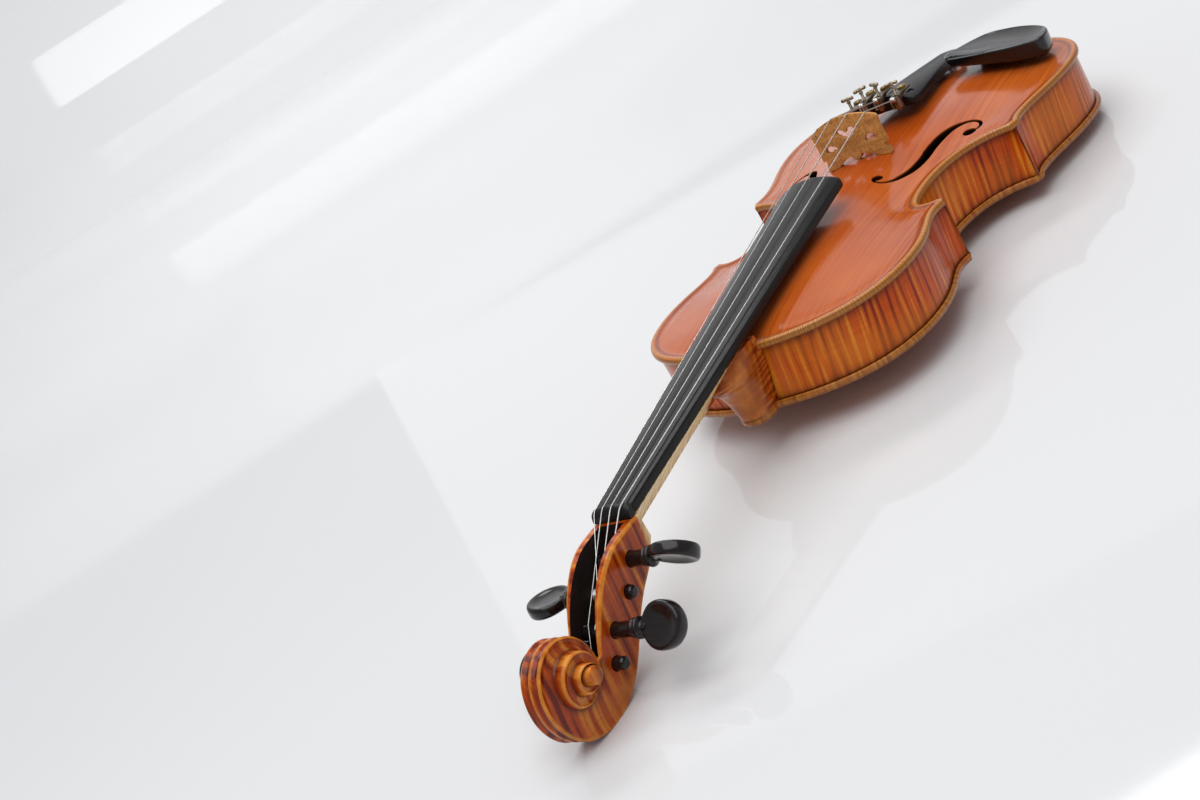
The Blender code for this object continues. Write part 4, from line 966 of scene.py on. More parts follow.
def head_section(rim, inner, foot_gap, wall, hollow):
    """One side of the head from its outer rim to the next turn's rim, as (y, z, x, mask) rows.

    rim and inner are ((y, z), half width); wall is the half width at the hollow's foot.
    """
    (outer, outer_x), (end, end_x) = rim, inner
    outer, end = Vector(outer), Vector(end)
    span = (end - outer).length
    inward = (end - outer).normalized()
    chamfer = min(1.0, span * 0.3)
    foot = end - inward * min(foot_gap, span * 0.3)
    # mask: above 0 a painted highlight on the chamfer, below 0 painted shade at the hollow's foot.
    rows = [(outer, outer_x - chamfer, 0.9), (outer + inward * chamfer * 0.5, outer_x - chamfer * 0.42, 1.0),
            (outer + inward * chamfer, outer_x, 0.8)]
    start = outer + inward * chamfer
    for t, mask in ((0.06, 0.1), (0.18, 0.0), (0.34, 0.0), (0.5, 0.0), (0.66, 0.0), (0.8, -0.15),
                    (0.91, -0.5), (1.0, -1.0)):
        dip = hollow * math.sin(math.pi * t) ** 0.8 if hollow else 0.0
        rows.append((start.lerp(foot, t), outer_x + (wall - outer_x) * t - dip * (1 - 0.25 * t), mask))
    rise = end_x - wall
    for t, lift, mask in ((0.35, 0.2, -0.8), (0.65, 0.55, -0.25), (0.9, 0.88, 0.3)):
        rows.append((foot.lerp(end, t), wall + rise * lift, mask))
    return rows


def head_stations():
    """Side rows from the innermost turn out to the nut; each row list has the same length."""
    angles = [row[0] for row in SPIRAL]
    stations = []
    turns = list(np.arange(-720, SPIRAL_END - 2, SPIRAL_STEP)) + [SPIRAL_END]

    def spiral(angle, column):
        return float(table(angle, angles, [row[column] for row in SPIRAL]))

    for angle in turns:
        rim = (around_eye(spiral(angle, 1), angle), spiral(angle, 2))
        if angle < -360:
            end, end_x = around_eye(EYE_RADIUS, angle), EYE_HALF
            wall = spiral(angle, 3)
            hollow = 0.9 * min(1.0, (angle + 720) / 150)
        else:
            end, end_x = around_eye(spiral(angle - 360, 1), angle), spiral(angle - 360, 2)
            wall = min(spiral(angle, 3), end_x - 0.15)
            hollow = float(np.interp(angle, (-360, 0, 120, 260, 343), (1.0, 1.3, 1.5, 1.0, 0.0)))
        rows = head_section(rim, (end, end_x - min(1.0, (angle + 720) / 60)), 0.6, wall, hollow)
        if angle == -720:
            rows = [(rim[0], EYE_HALF - 0.5, 0.3)] * len(rows)
        stations.append((angle, rows))
    for ty, tz, by, bz, top_x, back_x in smooth([(*a, *b, c, d) for a, b, c, d in PEGBOX], PEGBOX_STEPS):
        rows = head_section(((by, bz), back_x), ((ty, tz), top_x - 0.9), 1.9, top_x, 0.0)
        # On the cheeks only the painted highlight is kept, full along the cheek's top.
        cheek = [(p, x, max(mask, 0.0)) for p, x, mask in rows[:-3]]
        cheek += [(p, top_x - round_in, 1.0) for (p, _, _), round_in in zip(rows[-3:], (0.25, 0.7, 1.15))]
        stations.append((None, cheek))
    return stations


class Skin:
    """The head's points, their masks of painted highlight and painted shade, and its faces, as they are
    added.
    """

    def __init__(self):
        self.points, self.masks, self.faces = [], [], []

    def add(self, y, z, x, mask):
        self.points.append((x, y, z))
        self.masks.append(mask)
        return len(self.points) - 1

    def join(self, rows):
        """Quads between neighbouring rows of point numbers."""
        for a, b in zip(rows, rows[1:]):
            for k in range(len(a) - 1):
                self.faces.append((a[k], b[k], b[k + 1], a[k + 1]))


def row_ends(skin, stations, grid, side):
    """Where each side row ends: round the eye, on the next turn in, or on the cheek's top."""
    # Each end point's mask is a painted highlight on the edge it closes.
    ends = []
    for i, (angle, rows) in enumerate(stations):
        if angle is None:
            (y, z), x = rows[-1][0], rows[-1][1]
            ends.append(skin.add(y, z, side * (x - 0.25), 1.0))
        elif angle == SPIRAL_END:
            t = (SPIRAL_END - stations[i - 1][0]) / SPIRAL_STEP
            a, b = (Vector(skin.points[grid[n - PER_TURN][0]]) for n in (i - 1, i))
            x, y, z = a.lerp(b, t)
            ends.append(skin.add(y, z, x, 0.9))
        elif i >= PER_TURN:
            ends.append(grid[i - PER_TURN][0])
        else:
            y, z = around_eye(EYE_RADIUS, angle)
            ends.append(skin.add(y, z, side * (EYE_HALF - 0.5), 0.6))
    return ends


def eye_cap(skin, stations, cap, side):
    """The rounded button in the middle of the volute, inside a ring of points."""
    # The button's points carry a weak painted highlight.
    for inset, lift in ((0.86, 0.32), (0.55, 0.62), (0.25, 0.76)):
        ring = []
        for i in range(PER_TURN):
            y, z = around_eye(EYE_RADIUS * inset, stations[i][0])
            ring.append(skin.add(y, z, side * (EYE_HALF - 0.5 + lift), 0.4))
        for i in range(PER_TURN):
            j = (i + 1) % PER_TURN
            skin.faces.append((cap[i], cap[j], ring[j], ring[i]))
        cap = ring
    tip = skin.add(*EYE, side * (EYE_HALF + 0.3), 0.2)
    skin.faces += [(cap[i], cap[(i + 1) % PER_TURN], tip) for i in range(PER_TURN)]


def band_row(skin, left, right, depth, shade):
    """Points across the head from side to side, sunk into two flutes with a ridge between them."""
    a, b = Vector(skin.points[left]), Vector(skin.points[right])
    middle = (a + b) / 2
    out = Vector((0, middle.y - EYE[0], middle.z - EYE[1])).normalized()
    row = [left]
    for i in range(1, BAND_STEPS):
        u = -1 + 2 * i / BAND_STEPS
        p = a.lerp(b, (u + 1) / 2) - out * (depth * math.sin(math.pi * abs(u)) ** 2)
        # Painted highlight on the ridge between the flutes, painted shade down in the flutes.
        if abs(u) < 0.12 and depth > 0.4:
            mask = 0.75
        else:
            mask = -0.55 * shade if 0.3 < abs(u) < 0.7 else 0.0
        row.append(skin.add(p.y, p.z, p.x, mask))
    return row + [right]


def head_mesh():
    """Volute, pegbox cheeks and the fluted band round their outside, as one closed skin."""
    stations = head_stations()
    skin = Skin()
    sides = {}
    for side in (1, -1):
        grid = [[skin.add(p[0], p[1], side * x, mask) for p, x, mask in rows] for _, rows in stations]
        ends = row_ends(skin, stations, grid, side)
        for row, end in zip(grid, ends):
            row.append(end)
        skin.join(grid)
        eye_cap(skin, stations, ends[:PER_TURN], side)
        sides[side] = grid

    # The outer band starts where the last full turn does; the flat one closes the pegbox floor.
    first = next(i for i, (angle, _) in enumerate(stations) if angle > SPIRAL_END - 360)
    last_turn = next(i for i, (angle, _) in enumerate(stations) if angle == SPIRAL_END)
    boxed = PEGBOX_STEPS * (len(PEGBOX) - 1)
    outer_band = []
    for i, (angle, _) in enumerate(stations[first:], first):
        if angle is None:
            depth = FLUTE_DEPTH * (1 - float(ease((i - len(stations) + 1 + boxed) / boxed, 0.72, 1.0)))
        else:
            depth = FLUTE_DEPTH * float(ease(angle, -12, 25))
        outer_band.append(band_row(skin, sides[-1][i][0], sides[1][i][0], depth, 1.0))
    flat_band = [band_row(skin, sides[-1][i][-1], sides[1][i][-1], 0.0, 0.0)
                 for i in range(last_turn, len(stations))]
    skin.join(outer_band)
    skin.join(flat_band)
    skin.join([flat_band[0], outer_band[0]])
    for grid in sides.values():
        skin.faces.append((grid[last_turn][-1], grid[first][0], grid[first - 1][0]))
    end = sides[1][-1] + flat_band[-1][::-1][1:-1] + sides[-1][-1][::-1] + outer_band[-1][1:-1]
    skin.faces.append(tuple(end))
    masks = np.asarray(skin.masks)
    # Masks above 0 become the painted highlight (rim), masks below 0 the painted shade (shade).
    carved = {"rim": np.clip(masks, 0, 1), "shade": np.clip(-masks, 0, 1)}
    return tidy(mesh_of("head", skin.points, skin.faces, carved), 0.00002)


def handle_section(top_y, low_y, low_z, half, steps=28):
    """One D-shaped section from the glue face down to the underside."""
    glue_z = board_under(top_y) - 0.1
    ring = []
    for i in range(steps + 1):
        angle = math.pi * i / steps
        side = math.cos(angle)
        drop = math.sin(angle)
        x = 0.0 if abs(side) < 1e-9 else side * (half - half * drop)
        ring.append((x, top_y + (low_y - top_y) * drop, glue_z + (low_z - glue_z) * drop))
    return ring


def heel_section(z, reach, half):
    """One level slice of the heel, round towards the scroll."""
    ring = [(half, HEEL_REAR, z)]
    for i in range(33):
        a = math.pi * i / 32
        x = math.copysign(abs(math.cos(a)) ** 0.82, math.cos(a)) * half
        ring.append((x, -reach * math.sin(a) ** 0.9, z))
    return ring + [(-half, HEEL_REAR, z)]


# Handle stations: y on the glue face, y and z of the underside, half width.
NECK = ((-130.3, -130.3, 28.3, 12.2), (-126, -126, 29.8, 12.1), (-122, -122, 30.6, 12.2),
        (-90, -90, 33.9, 13.2), (-55, -54, 37.6, 14.6), (-36, -33, 39.2, 15.2), (-20, -20, 40.6, 15.8),
        (-8, -8, 41.6, 16.2),
        (-0.2, -0.2, 42.0, 16.4))
# Heel slices: height, reach towards the scroll, half width.
HEEL = ((15.05, 14.2, 10.2), (16.0, 14.4, 10.4), (20.0, 14.8, 11.2), (24.0, 15.5, 12.1), (28.0, 16.7, 13.0),
        (31.0, 18.0, 13.7), (33.5, 19.6, 14.3), (36.0, 22.0, 14.9), (38.0, 25.0, 15.3), (39.6, 28.6, 15.6),
        (41.5, 31.5, 15.9), (44.0, 32.5, 16.1), (48.0, 30.0, 16.3), (54.0, 24.0, 16.3))
HEEL_REAR = 2.9
# The pegbox: its half width inside, and its floor from the nut to the volute as (y, z).
PEGBOX_HALF = 7.8
PEGBOX_FLOOR = ((-136.5, 30.5), (-140, 25.5), (-150, 19.5), (-160, 13.5), (-170, 5.8), (-180, -2.2),
                (-188, -7.2), (-193.0, -6.0), (-194.0, 0), (-193.2, 6))


def paint_neck(mesh):
    """Mark where the wood is bare, and where the varnish is rubbed away."""
    bare, worn = [], []
    for vert in mesh.vertices:
        _, y, z = UNTURN @ vert.co
        low_turn = math.exp(-((y + 190) / 14) ** 2 - ((z + 12) / 7) ** 2)
        heel_front = float(ease(-y, 2, 12)) * float(ease(y, -34, -22))
        worn.append(max(low_turn, heel_front))
        slant = (42 - z) * 0.28
        at_head = float(ease(y, -132.5 - slant, -130.5 - slant))
        edge = -27 - (54 - z) * 0.8
        at_heel = 1 - float(ease(y, edge - 1.2, edge + 1.2))
        bare.append(at_head * at_heel)
    store(mesh, "bare", bare)
    store(mesh, "worn", worn)


def darken_pegbox(mesh, floor):
    """Give the second material, a near-black painted shade, to the pegbox's inner walls and floor."""
    centres = [UNTURN @ poly.center for poly in mesh.polygons]
    gap, _ = distances([(p.y, p.z) for p in centres], floor)
    held = inside([(p.y, p.z) for p in centres], floor)
    for poly, p, off, within in zip(mesh.polygons, centres, gap, held):
        on_wall = within and abs(abs(p.x) - PEGBOX_HALF) < 0.05
        on_floor = off < 0.08 and abs(p.x) < PEGBOX_HALF
        poly.material_index = 1 if on_wall or on_floor else 0


def build_neck(material, pegbox_shade_material):
    """Head, pegbox, handle and heel as one carved piece."""
    handle = loft("handle", [handle_section(*station) for station in smooth(NECK, 5)])
    floor = [(-136.5, 60)] + smooth(PEGBOX_FLOOR, 4) + [(-192.8, 60)]
    cavity = slab("cavity", [floor], -PEGBOX_HALF, PEGBOX_HALF, place=SIDE_VIEW)
    bore = ((0, -20), (3.45, -20), (4.2, 20), (0, 20))
    bores = [turned("bore", bore, (0, y, z), (side, 0, 0), 32) for _, (y, z), side, _ in PEGS]
    heel = loft("heel", [heel_section(*level) for level in smooth(HEEL, 3)])
    mesh = boolean(head_mesh(), [handle, heel], "UNION")
    mesh = boolean(mesh, [cavity, *bores], "DIFFERENCE")
    paint_neck(mesh)
    darken_pegbox(mesh, floor)
    above_table(mesh)
    publish("neck_carving", mesh, "violin", [material, pegbox_shade_material], ("neck_and_scroll",),
            sharp=42)


# ---------------------------------------------------------------- fingerboard, nut, bridge
# Fingerboard rows as (y, how far the section is pulled in).
BOARD_ROWS = ((-130.0, 0.3), (-129.6, 0.05), (-129, 0.0), (-60, 0), (0, 0), (22, 0), (28, 0), (36, 0),
              (50, 0), (80, 0), (110, 0), (130, 0), (132.2, 0.15), (133.3, 0.55), (133.9, 1.2), (134.0, 1.6))
BRIDGE_Y = 193.5
BRIDGE_HALF_THICK = 2.1
STRING_AT_NUT = (8.2, 2.75, -2.75, -8.2)
STRING_AT_BRIDGE = (17.0, 5.8, -5.8, -17.0)
STRING_AT_TAIL = (15.8, 5.2, -5.2, -15.8)
STRING_RADIUS = (0.4, 0.35, 0.3, 0.25)
STRING_NAMES = ("G", "D", "A", "E")
BRIDGE_CROWN_Z = 90.4
BRIDGE_CROWN_RADIUS = 45.6
# Right half of the bridge: foot and side up to the crown, the arch under it and half of the heart.
BRIDGE_SIDE = ((21.7, 62.3), (20.9, 63.8), (20.5, 65.4), (20.6, 66.6), (21.2, 67.0), (22.2, 66.8),
               (22.7, 67.6), (22.6, 69.2), (22.4, 72.0), (22.5, 76.0), (22.8, 80.0), (23.2, 83.6),
               (22.7, 84.6))
BRIDGE_UNDER = ((2.2, 62.5), (2.9, 64.0), (3.6, 64.9), (5.6, 64.6), (9.4, 63.3), (12.2, 61.6))
BRIDGE_EYE = ((17.2, 70.9), (17.8, 72.2), (16.8, 74.0), (14.2, 74.8), (11.4, 74.1), (9.7, 72.5), (9.9, 71.1),
              (11.4, 70.6), (12.8, 71.3), (14.2, 71.2), (15.6, 70.3))
BRIDGE_HEART = ((2.6, 77.0), (4.9, 78.7), (6.1, 80.6), (5.3, 82.1), (3.4, 82.5), (1.5, 81.6), (0.35, 80.0))


def arc_drop(x, radius):
    """How far a round crown has fallen at x from its middle."""
    return radius - math.sqrt(radius ** 2 - x * x)


def build_fingerboard(material):
    """A crowned board, hollowed underneath beyond the neck; each row is pulled in at the ends."""
    rings = []
    for y, shrink in BOARD_ROWS:
        half = board_half(y) - shrink
        crown = board_crown(y) - shrink * 0.5
        under = board_under(y) + shrink * 0.3
        shoulder = crown - arc_drop(board_half(y), BOARD_RADIUS) - 0.42
        top = under + BOARD_EDGE - 1.0
        ring = [(half - 0.5, y, under), (half, y, under + 0.5), (half, y, top), (half - 0.12, y, shoulder)]
        for x in ((half - 0.5) * c for c in cosines(24)):
            ring.append((x, y, crown - arc_drop(x, BOARD_RADIUS)))
        ring += [(-x, y, z) for x, y, z in ring[3::-1]]
        depth = 4.4 * float(ease(y, 22, 60))
        for x in (-(half - 0.5) * c for c in cosines(16)[1:-1]):
            ring.append((x, y, under + depth * max(0.0, 1 - (x / (0.78 * half)) ** 2)))
        rings.append(ring)
    publish("fingerboard_ebony", loft("fingerboard", rings), "violin", material, ("fingerboard",),
            sharp=38)


def build_nut(material):
    """The nut, with a groove for each string."""
    rear = BOARD_Y[0] - GAP
    front = rear - NUT_LENGTH
    half = BOARD_HALF[0]
    rings = []
    for y, drop in ((front, 3.6), (front + 0.15, 3.0), (front + 0.8, 1.5), (front + 1.8, 0.5),
                    (front + 2.9, 0.06), (rear - 0.9, 0.0), (rear - 0.3, 0.1), (rear, 0.35)):
        ring = [(half - 0.2, y, board_under(BOARD_Y[0]))]
        for x in ((half - 0.15) * c for c in cosines(120)):
            groove = sum(0.45 * max(0.0, 1 - ((x - s) / (r + 0.12)) ** 2) ** 0.5
                         for s, r in zip(STRING_AT_NUT, STRING_RADIUS))
            shoulder = 0.5 * float(ease(abs(x), half - 1.4, half))
            z = board_crown(BOARD_Y[0]) + 0.72 - drop - arc_drop(x, BOARD_RADIUS) - groove - shoulder
            ring.append((x, y, z))
        ring.append((-half + 0.2, y, board_under(BOARD_Y[0])))
        rings.append(ring)
    publish("nut_ebony", loft("nut", rings), "violin", material, ("nut",), sharp=38)


def bridge_crown(x):
    """Height of the bridge's curved top."""
    return BRIDGE_CROWN_Z - x * x / (2 * BRIDGE_CROWN_RADIUS)


def top_at(x, y):
    """Height of the belly's outer face at a plan point."""
    xy = np.array([[float(x), float(y)]])
    edge, _ = distances(xy, HALF_FINE + [(-a, b) for a, b in reversed(HALF_FINE)])
    return float((TOP_EDGE_Z + arch(xy, edge, TOP_RISE, 1.15) - channel(edge))[0])


def build_bridge(material):
    """A bridge cut through with eyes and a heart, thinner upwards, its feet shaped to the belly."""
    def foot(x):
        return top_at(x, BRIDGE_Y) + 0.12

    ankle = [(12.2, 61.6), (13.0, foot(13.2) + 0.7), (13.6, foot(13.6)), (17.5, foot(17.5)),
             (21.2, foot(21.4)), (21.9, foot(21.9) + 0.9)]
    side = smooth(ankle + list(BRIDGE_SIDE), 4)
    crown = [(x, bridge_crown(x)) for x in (22.0 * c for c in cosines(36))]
    under = smooth(mirrored(BRIDGE_UNDER) + [(0, 61.8)] + list(BRIDGE_UNDER), 3)
    eyes = [smooth([(sign * x, z) for x, z in BRIDGE_EYE], 4, closed=True) for sign in (1, -1)]
    heart = smooth([(0, 76.1)] + list(BRIDGE_HEART) + mirrored(BRIDGE_HEART), 3, closed=True)
    outline = side + crown + mirrored(side) + under[1:-1]
    mesh = slab("bridge", [outline, *eyes, heart], -BRIDGE_HALF_THICK, BRIDGE_HALF_THICK, 0.22,
                Matrix.Translation((0, BRIDGE_Y, 0)) @ FRONT_VIEW)
    for vert in mesh.vertices:
        x, y, z = UNTURN @ vert.co
        y = BRIDGE_Y + (y - BRIDGE_Y) * float(np.interp(z, (60.0, 66.0, 90.4), (1.0, 0.92, 0.36)))
        vert.co = BODY @ Vector((x, y, z))
    notches = []
    for x, r in zip(STRING_AT_BRIDGE, STRING_RADIUS):
        path = [(x, BRIDGE_Y + reach, bridge_crown(x) + r * 0.55) for reach in (-4, 4)]
        notches.append(tube("notch", path, r + 0.05, 10))
    mesh = boolean(mesh, notches, "DIFFERENCE")
    publish("bridge_carved", mesh, "violin", material, ("bridge",), sharp=35)


# ---------------------------------------------------------------- pegs and strings
# Profile of a peg along its axis as (radius, place), and its thumb piece from the middle out
# to the rim as (share of the size, half thickness).
PEG_SHAFT = ((0, -15.7), (1.9, -15.6), (2.7, -15.1), (3.12, -14.2), (3.15, -13.9), (3.75, 12.0), (3.8, 17.6),
             (3.9, 20.6), (4.4, 21.4), (4.75, 22.2), (4.6, 23.0), (4.2, 23.4), (4.9, 24.0), (5.2, 24.8),
             (5.1, 25.6), (4.3, 26.3), (3.4, 26.9), (3.1, 27.8), (3.0, 30.0), (0, 30.0))
PEG_THUMB = ((0.12, 1.9), (0.3, 1.95), (0.5, 2.15), (0.68, 2.55), (0.8, 2.95), (0.88, 3.1), (0.94, 2.85),
             (0.985, 2.1), (1.0, 1.0))
COIL_START = math.atan2(0.8, -0.6)
COIL_TURNS = 4.6
COIL_STEPS = 26


def build_pegs(material):
    """Turned shafts with a collar and a dished round thumb piece, each on its own body."""
    thumb_rows = list(PEG_THUMB) + [(rho, -lift) for rho, lift in reversed(PEG_THUMB)]
    for label, (y, z), side, face in PEGS:
        axis = Vector((side, 0, 0))
        flat = Vector((0, *face)).normalized()
        turn = Matrix((flat.cross(axis), flat, axis)).transposed()
        at = Vector((0, y, z))
        body = turned("shaft", smooth(rounded(PEG_SHAFT, 0.3), 1), at, axis, 40)
        rings = []
        for rho, lift in thumb_rows:
            ring = []
            for a in circle(56):
                wide = 11.2 * rho * math.cos(a)
                high = 38.2 + rho * (12.2 * math.sin(a) if math.sin(a) > 0 else 11.4 * math.sin(a))
                thick = lift * (1.0 + 0.12 * math.sin(a) * (rho > 0.5))
                pinch = 1 - 0.1 * float(ease(-math.sin(a), 0.5, 1.0)) * rho
                ring.append(at + turn @ Vector((wide * pinch, thick, high)))
            rings.append(ring)
        mesh = boolean(body, [loft("thumb", rings)], "UNION")
        publish(f"peg_{label}_turned", mesh, f"peg_{label}_body", material, (f"peg_{label}",),
                sharp=42)


def string_path(k):
    """The string from its peg over the nut and bridge to its tuner, smooth at each bend."""
    label, radius = STRING_NAMES[k], STRING_RADIUS[k]
    nut_x, bridge_x, tail_x = STRING_AT_NUT[k], STRING_AT_BRIDGE[k], STRING_AT_TAIL[k]
    (py, pz), _ = PEG_AT[label]
    lean = radius + 3.75
    peg_x = nut_x * 0.5
    nut_y = BOARD_Y[0] - GAP - 1.5
    nut_z = board_crown(BOARD_Y[0]) + 0.6 - arc_drop(nut_x, BOARD_RADIUS) + radius
    bridge_z = bridge_crown(bridge_x) + radius * 0.7
    path = [(peg_x, py - 0.6 * lean, pz + 0.8 * lean)]
    if label == "A":
        path.append((peg_x, -180.3, 18.9 + radius))
    path += [(nut_x * 0.97, nut_y - 3.4, nut_z - 1.0), (nut_x, nut_y - 1.5, nut_z - 0.12),
             (nut_x, nut_y, nut_z + 0.1), (nut_x, nut_y + 1.3, nut_z + 0.32)]
    path += [(bridge_x, BRIDGE_Y - 1.4, bridge_z - 0.12), (bridge_x, BRIDGE_Y, bridge_z),
             (bridge_x, BRIDGE_Y + 1.4, bridge_z - 0.3)]
    path.append((tail_x, LEVER_Y - 2.2, tail_surface(tail_x, TAIL_Y[0]) + 2.4))
    return path


def winding(k):
    """The turns round the peg, starting beside the string so they can turn past it."""
    radius = STRING_RADIUS[k]
    (py, pz), side = PEG_AT[STRING_NAMES[k]]
    first = STRING_AT_NUT[k] * 0.5 + side * (2 * radius + 0.35)
    coil = []
    for i in range(int(COIL_TURNS * COIL_STEPS) + 1):
        a = COIL_START + 2 * math.pi * i / COIL_STEPS
        x = first + side * (2 * radius + 0.06) * i / COIL_STEPS
        around = np.interp(side * x, *PEG_TAPER) + radius * 0.92
        coil.append((x, py + around * math.cos(a), pz + around * math.sin(a)))
    return tube("winding", coil, radius, 8)


def build_strings(materials):
    """Each string with its ball end, and the winding that turns with its peg."""
    barrel = rounded(((0, -1.5), (1.5, -1.5), (1.5, 1.5), (0, 1.5)), 0.5)
    for k, (label, material) in enumerate(zip(STRING_NAMES, materials)):
        path = string_path(k)
        x, y, z = path[-1]
        mesh = tube("string", path, STRING_RADIUS[k], 12)
        ball = turned("ball", barrel, (x, y + 0.2, z), (1, 0, 0), 20)
        publish(f"string_{label}_strung", joined("string", [mesh, ball]), "violin", material,
                (f"string_{label}",), sharp=60)
        publish(f"winding_{label}", winding(k), f"peg_{label}_body", material, sharp=60)


# ---------------------------------------------------------------- tailpiece and tuners
TAIL_Y = (240.0, 345.0)
TAIL_CROWN = (78.5, 61.5)
TAIL_RADIUS = 38.0
SCREW_Y = 236.0
LEVER_Y = 232.2
# Tailpiece rows as (y, half width, edge height).
TAIL_ROWS = ((240, 19.0, 3.4), (241, 21.2, 4.0), (243, 22.0, 4.2), (255, 21.4, 4.6), (275, 18.4, 5.0),
             (300, 14.6, 5.6), (325, 11.6, 6.2), (340, 10.5, 6.6), (344, 9.4, 6.3), (345, 8.2, 5.8))
SLOT_Y = 254.3
SLOT_RADIUS = 1.7
# Tuner bracket and lever seen from the side, as (y, z), and the ring nut's profile.
BRACKET_SIDE = ((250, 0.6), (250, 1.7), (246, 2.1), (241, 2.6), (231.4, 2.6), (230.4, 2.2), (230.2, -4.4),
                (231.0, -4.8), (234.0, -4.8), (234.6, -0.6), (238.8, -0.4), (239.4, 0.5))
LEVER_SIDE = ((231.0, 3.2), (231.6, 3.7), (232.4, 3.2), (232.9, 0.5), (233.3, -3.7), (237.6, -4.1),
              (238.3, -4.6), (237.8, -5.3), (231.6, -5.4), (230.8, -4.4), (230.6, -1.5))
RING_NUT = ((1.5, 1.4), (2.7, 1.4), (2.95, 1.65), (2.95, 3.4), (2.7, 3.8), (1.9, 3.9), (1.6, 3.5), (1.5, 3.4))
RING_Y = 9.6
# Half of the thumb head's bar: distance from its middle and radius.
THUMB_BAR = ((4.25, 0.25), (4.1, 0.75), (3.6, 1.08), (2.6, 1.2), (1.5, 1.0))
THUMB_TURNS = (12, -30, 40, 5)
ENDPIN_Z = 30.5


def tail_surface(x, y):
    """Height of the tailpiece's crowned top."""
    return float(np.interp(y, TAIL_Y, TAIL_CROWN)) - arc_drop(x, TAIL_RADIUS)


def moved(mesh, shift, turn=None):
    """A copy of a mesh built at the body's origin, turned and set in its place."""
    copy = mesh.copy()
    copy.transform(BODY @ Matrix.Translation(shift) @ (turn or Matrix()) @ UNTURN)
    return copy


def build_tailpiece(material):
    """A ridged tailpiece with a fret near its wide end and a keyhole slot for each string."""
    rings = []
    for y, half, edge in smooth(TAIL_ROWS, 4):
        y = max(y, TAIL_Y[0])
        low = tail_surface(half, y) - edge
        ring = [(half - 0.9, y, low), (half - 0.2, y, low + 0.5), (half, y, low + edge * 0.5)]
        for x in ((half - 0.35) * c for c in cosines(28)):
            ridge = 0.9 * math.exp(-(x / 2.2) ** 2) * float(ease(y, 262, 290))
            ridge *= 1 - float(ease(y, 336, 344))
            fret = 1.1 * math.exp(-((y - 257.0) / 1.1) ** 2) * (1 - float(ease(abs(x), half - 4, half - 1)))
            shoulder = 0.25 * float(ease(abs(x), half - 1.6, half))
            ring.append((x, y, tail_surface(x, y) - shoulder + min(ridge, 0.8) + fret))
        ring += [(-half, y, low + edge * 0.5), (-half + 0.2, y, low + 0.5), (-half + 0.9, y, low)]
        for x in (-(half - 0.9) * c for c in cosines(10)[1:-1]):
            ring.append((x, y, low + 1.2 * max(0.0, 1 - (x / half) ** 2)))
        rings.append(ring)
    cutters = []
    for x in STRING_AT_TAIL:
        slot = [(x - 0.7, 247.5), (x + 0.7, 247.5), (x + 0.7, 253.0)]
        for a in (math.radians(-45 + 270 * i / 16) for i in range(17)):
            slot.append((x + SLOT_RADIUS * math.cos(a), SLOT_Y + SLOT_RADIUS * math.sin(a)))
        cutters.append(slab("slot", [slot + [(x - 0.7, 253.0)]], 50, 90))
    mesh = boolean(loft("tailpiece", rings), cutters, "DIFFERENCE")
    publish("tailpiece_ebony", mesh, "violin", material, ("tailpiece",), sharp=38)


def tuner_bracket():
    """The folded plate, slotted for the string and bored for the screw and the pin."""
    plate_side = [(y - SCREW_Y, z) for y, z in BRACKET_SIDE]
    bracket = slab("bracket", [plate_side], -3.0, 3.0, 0.3, SIDE_VIEW)
    cuts = [slab("slot", [[(-1.5, -9), (1.5, -9), (1.5, -1.6), (-1.5, -1.6)]], -9, 7),
            turned("bore", ((0, -10), (1.3, -10), (1.3, 10), (0, 10)), (0, 0, 0), (0, 0, 1), 24),
            turned("pin_bore", ((0, -6), (0.95, -6), (0.95, 6), (0, 6)), (0, LEVER_Y - SCREW_Y, -3.9),
                   (1, 0, 0), 20)]
    return boolean(bracket, cuts, "DIFFERENCE")


def ring_nut():
    """The knurled ring that holds the bracket, and the stud it turns on."""
    knurl = []
    for radius, z in RING_NUT:
        ring = []
        for i, a in enumerate(circle(72)):
            bite = 0.86 if radius > 2.6 and i % 4 == 0 else 1.0
            ring.append((radius * bite * math.cos(a), RING_Y + radius * bite * math.sin(a), z))
        knurl.append(ring)
    nut = loft("ring_nut", knurl + [knurl[0]], caps=False)
    profile = rounded(((0, 0.2), (1.5, 0.2), (1.5, 3.9), (1.2, 4.2), (0, 4.2)), 0.25)
    return nut, turned("stud", profile, (0, RING_Y, 0), (0, 0, 1), 24)


def tuner_lever():
    """The rocking arm on its pin, built about the pin."""
    arm = slab("lever", [[(y - LEVER_Y, z + 3.0) for y, z in LEVER_SIDE]], -1.15, 1.15, 0.25, SIDE_VIEW)
    profile = rounded(((0, -2.9), (0.7, -2.9), (0.7, 2.9), (0, 2.9)), 0.2)
    return boolean(arm, [turned("pin", profile, (0, 0, 0), (1, 0, 0), 20)], "UNION")


def tuner_rod():
    """The threaded rod, built about its middle."""
    thread = [(0, -6.6), (0.6, -6.6)]
    for i in range(22):
        thread += [(0.8, -6.3 + i * 0.5), (1.0, -6.05 + i * 0.5)]
    thread += [(0.8, 4.9), (1.35, 5.1), (1.35, 6.0), (1.0, 6.25), (0, 6.25)]
    return turned("rod", thread, (0, 0, 0), (0, 0, 1), 20)


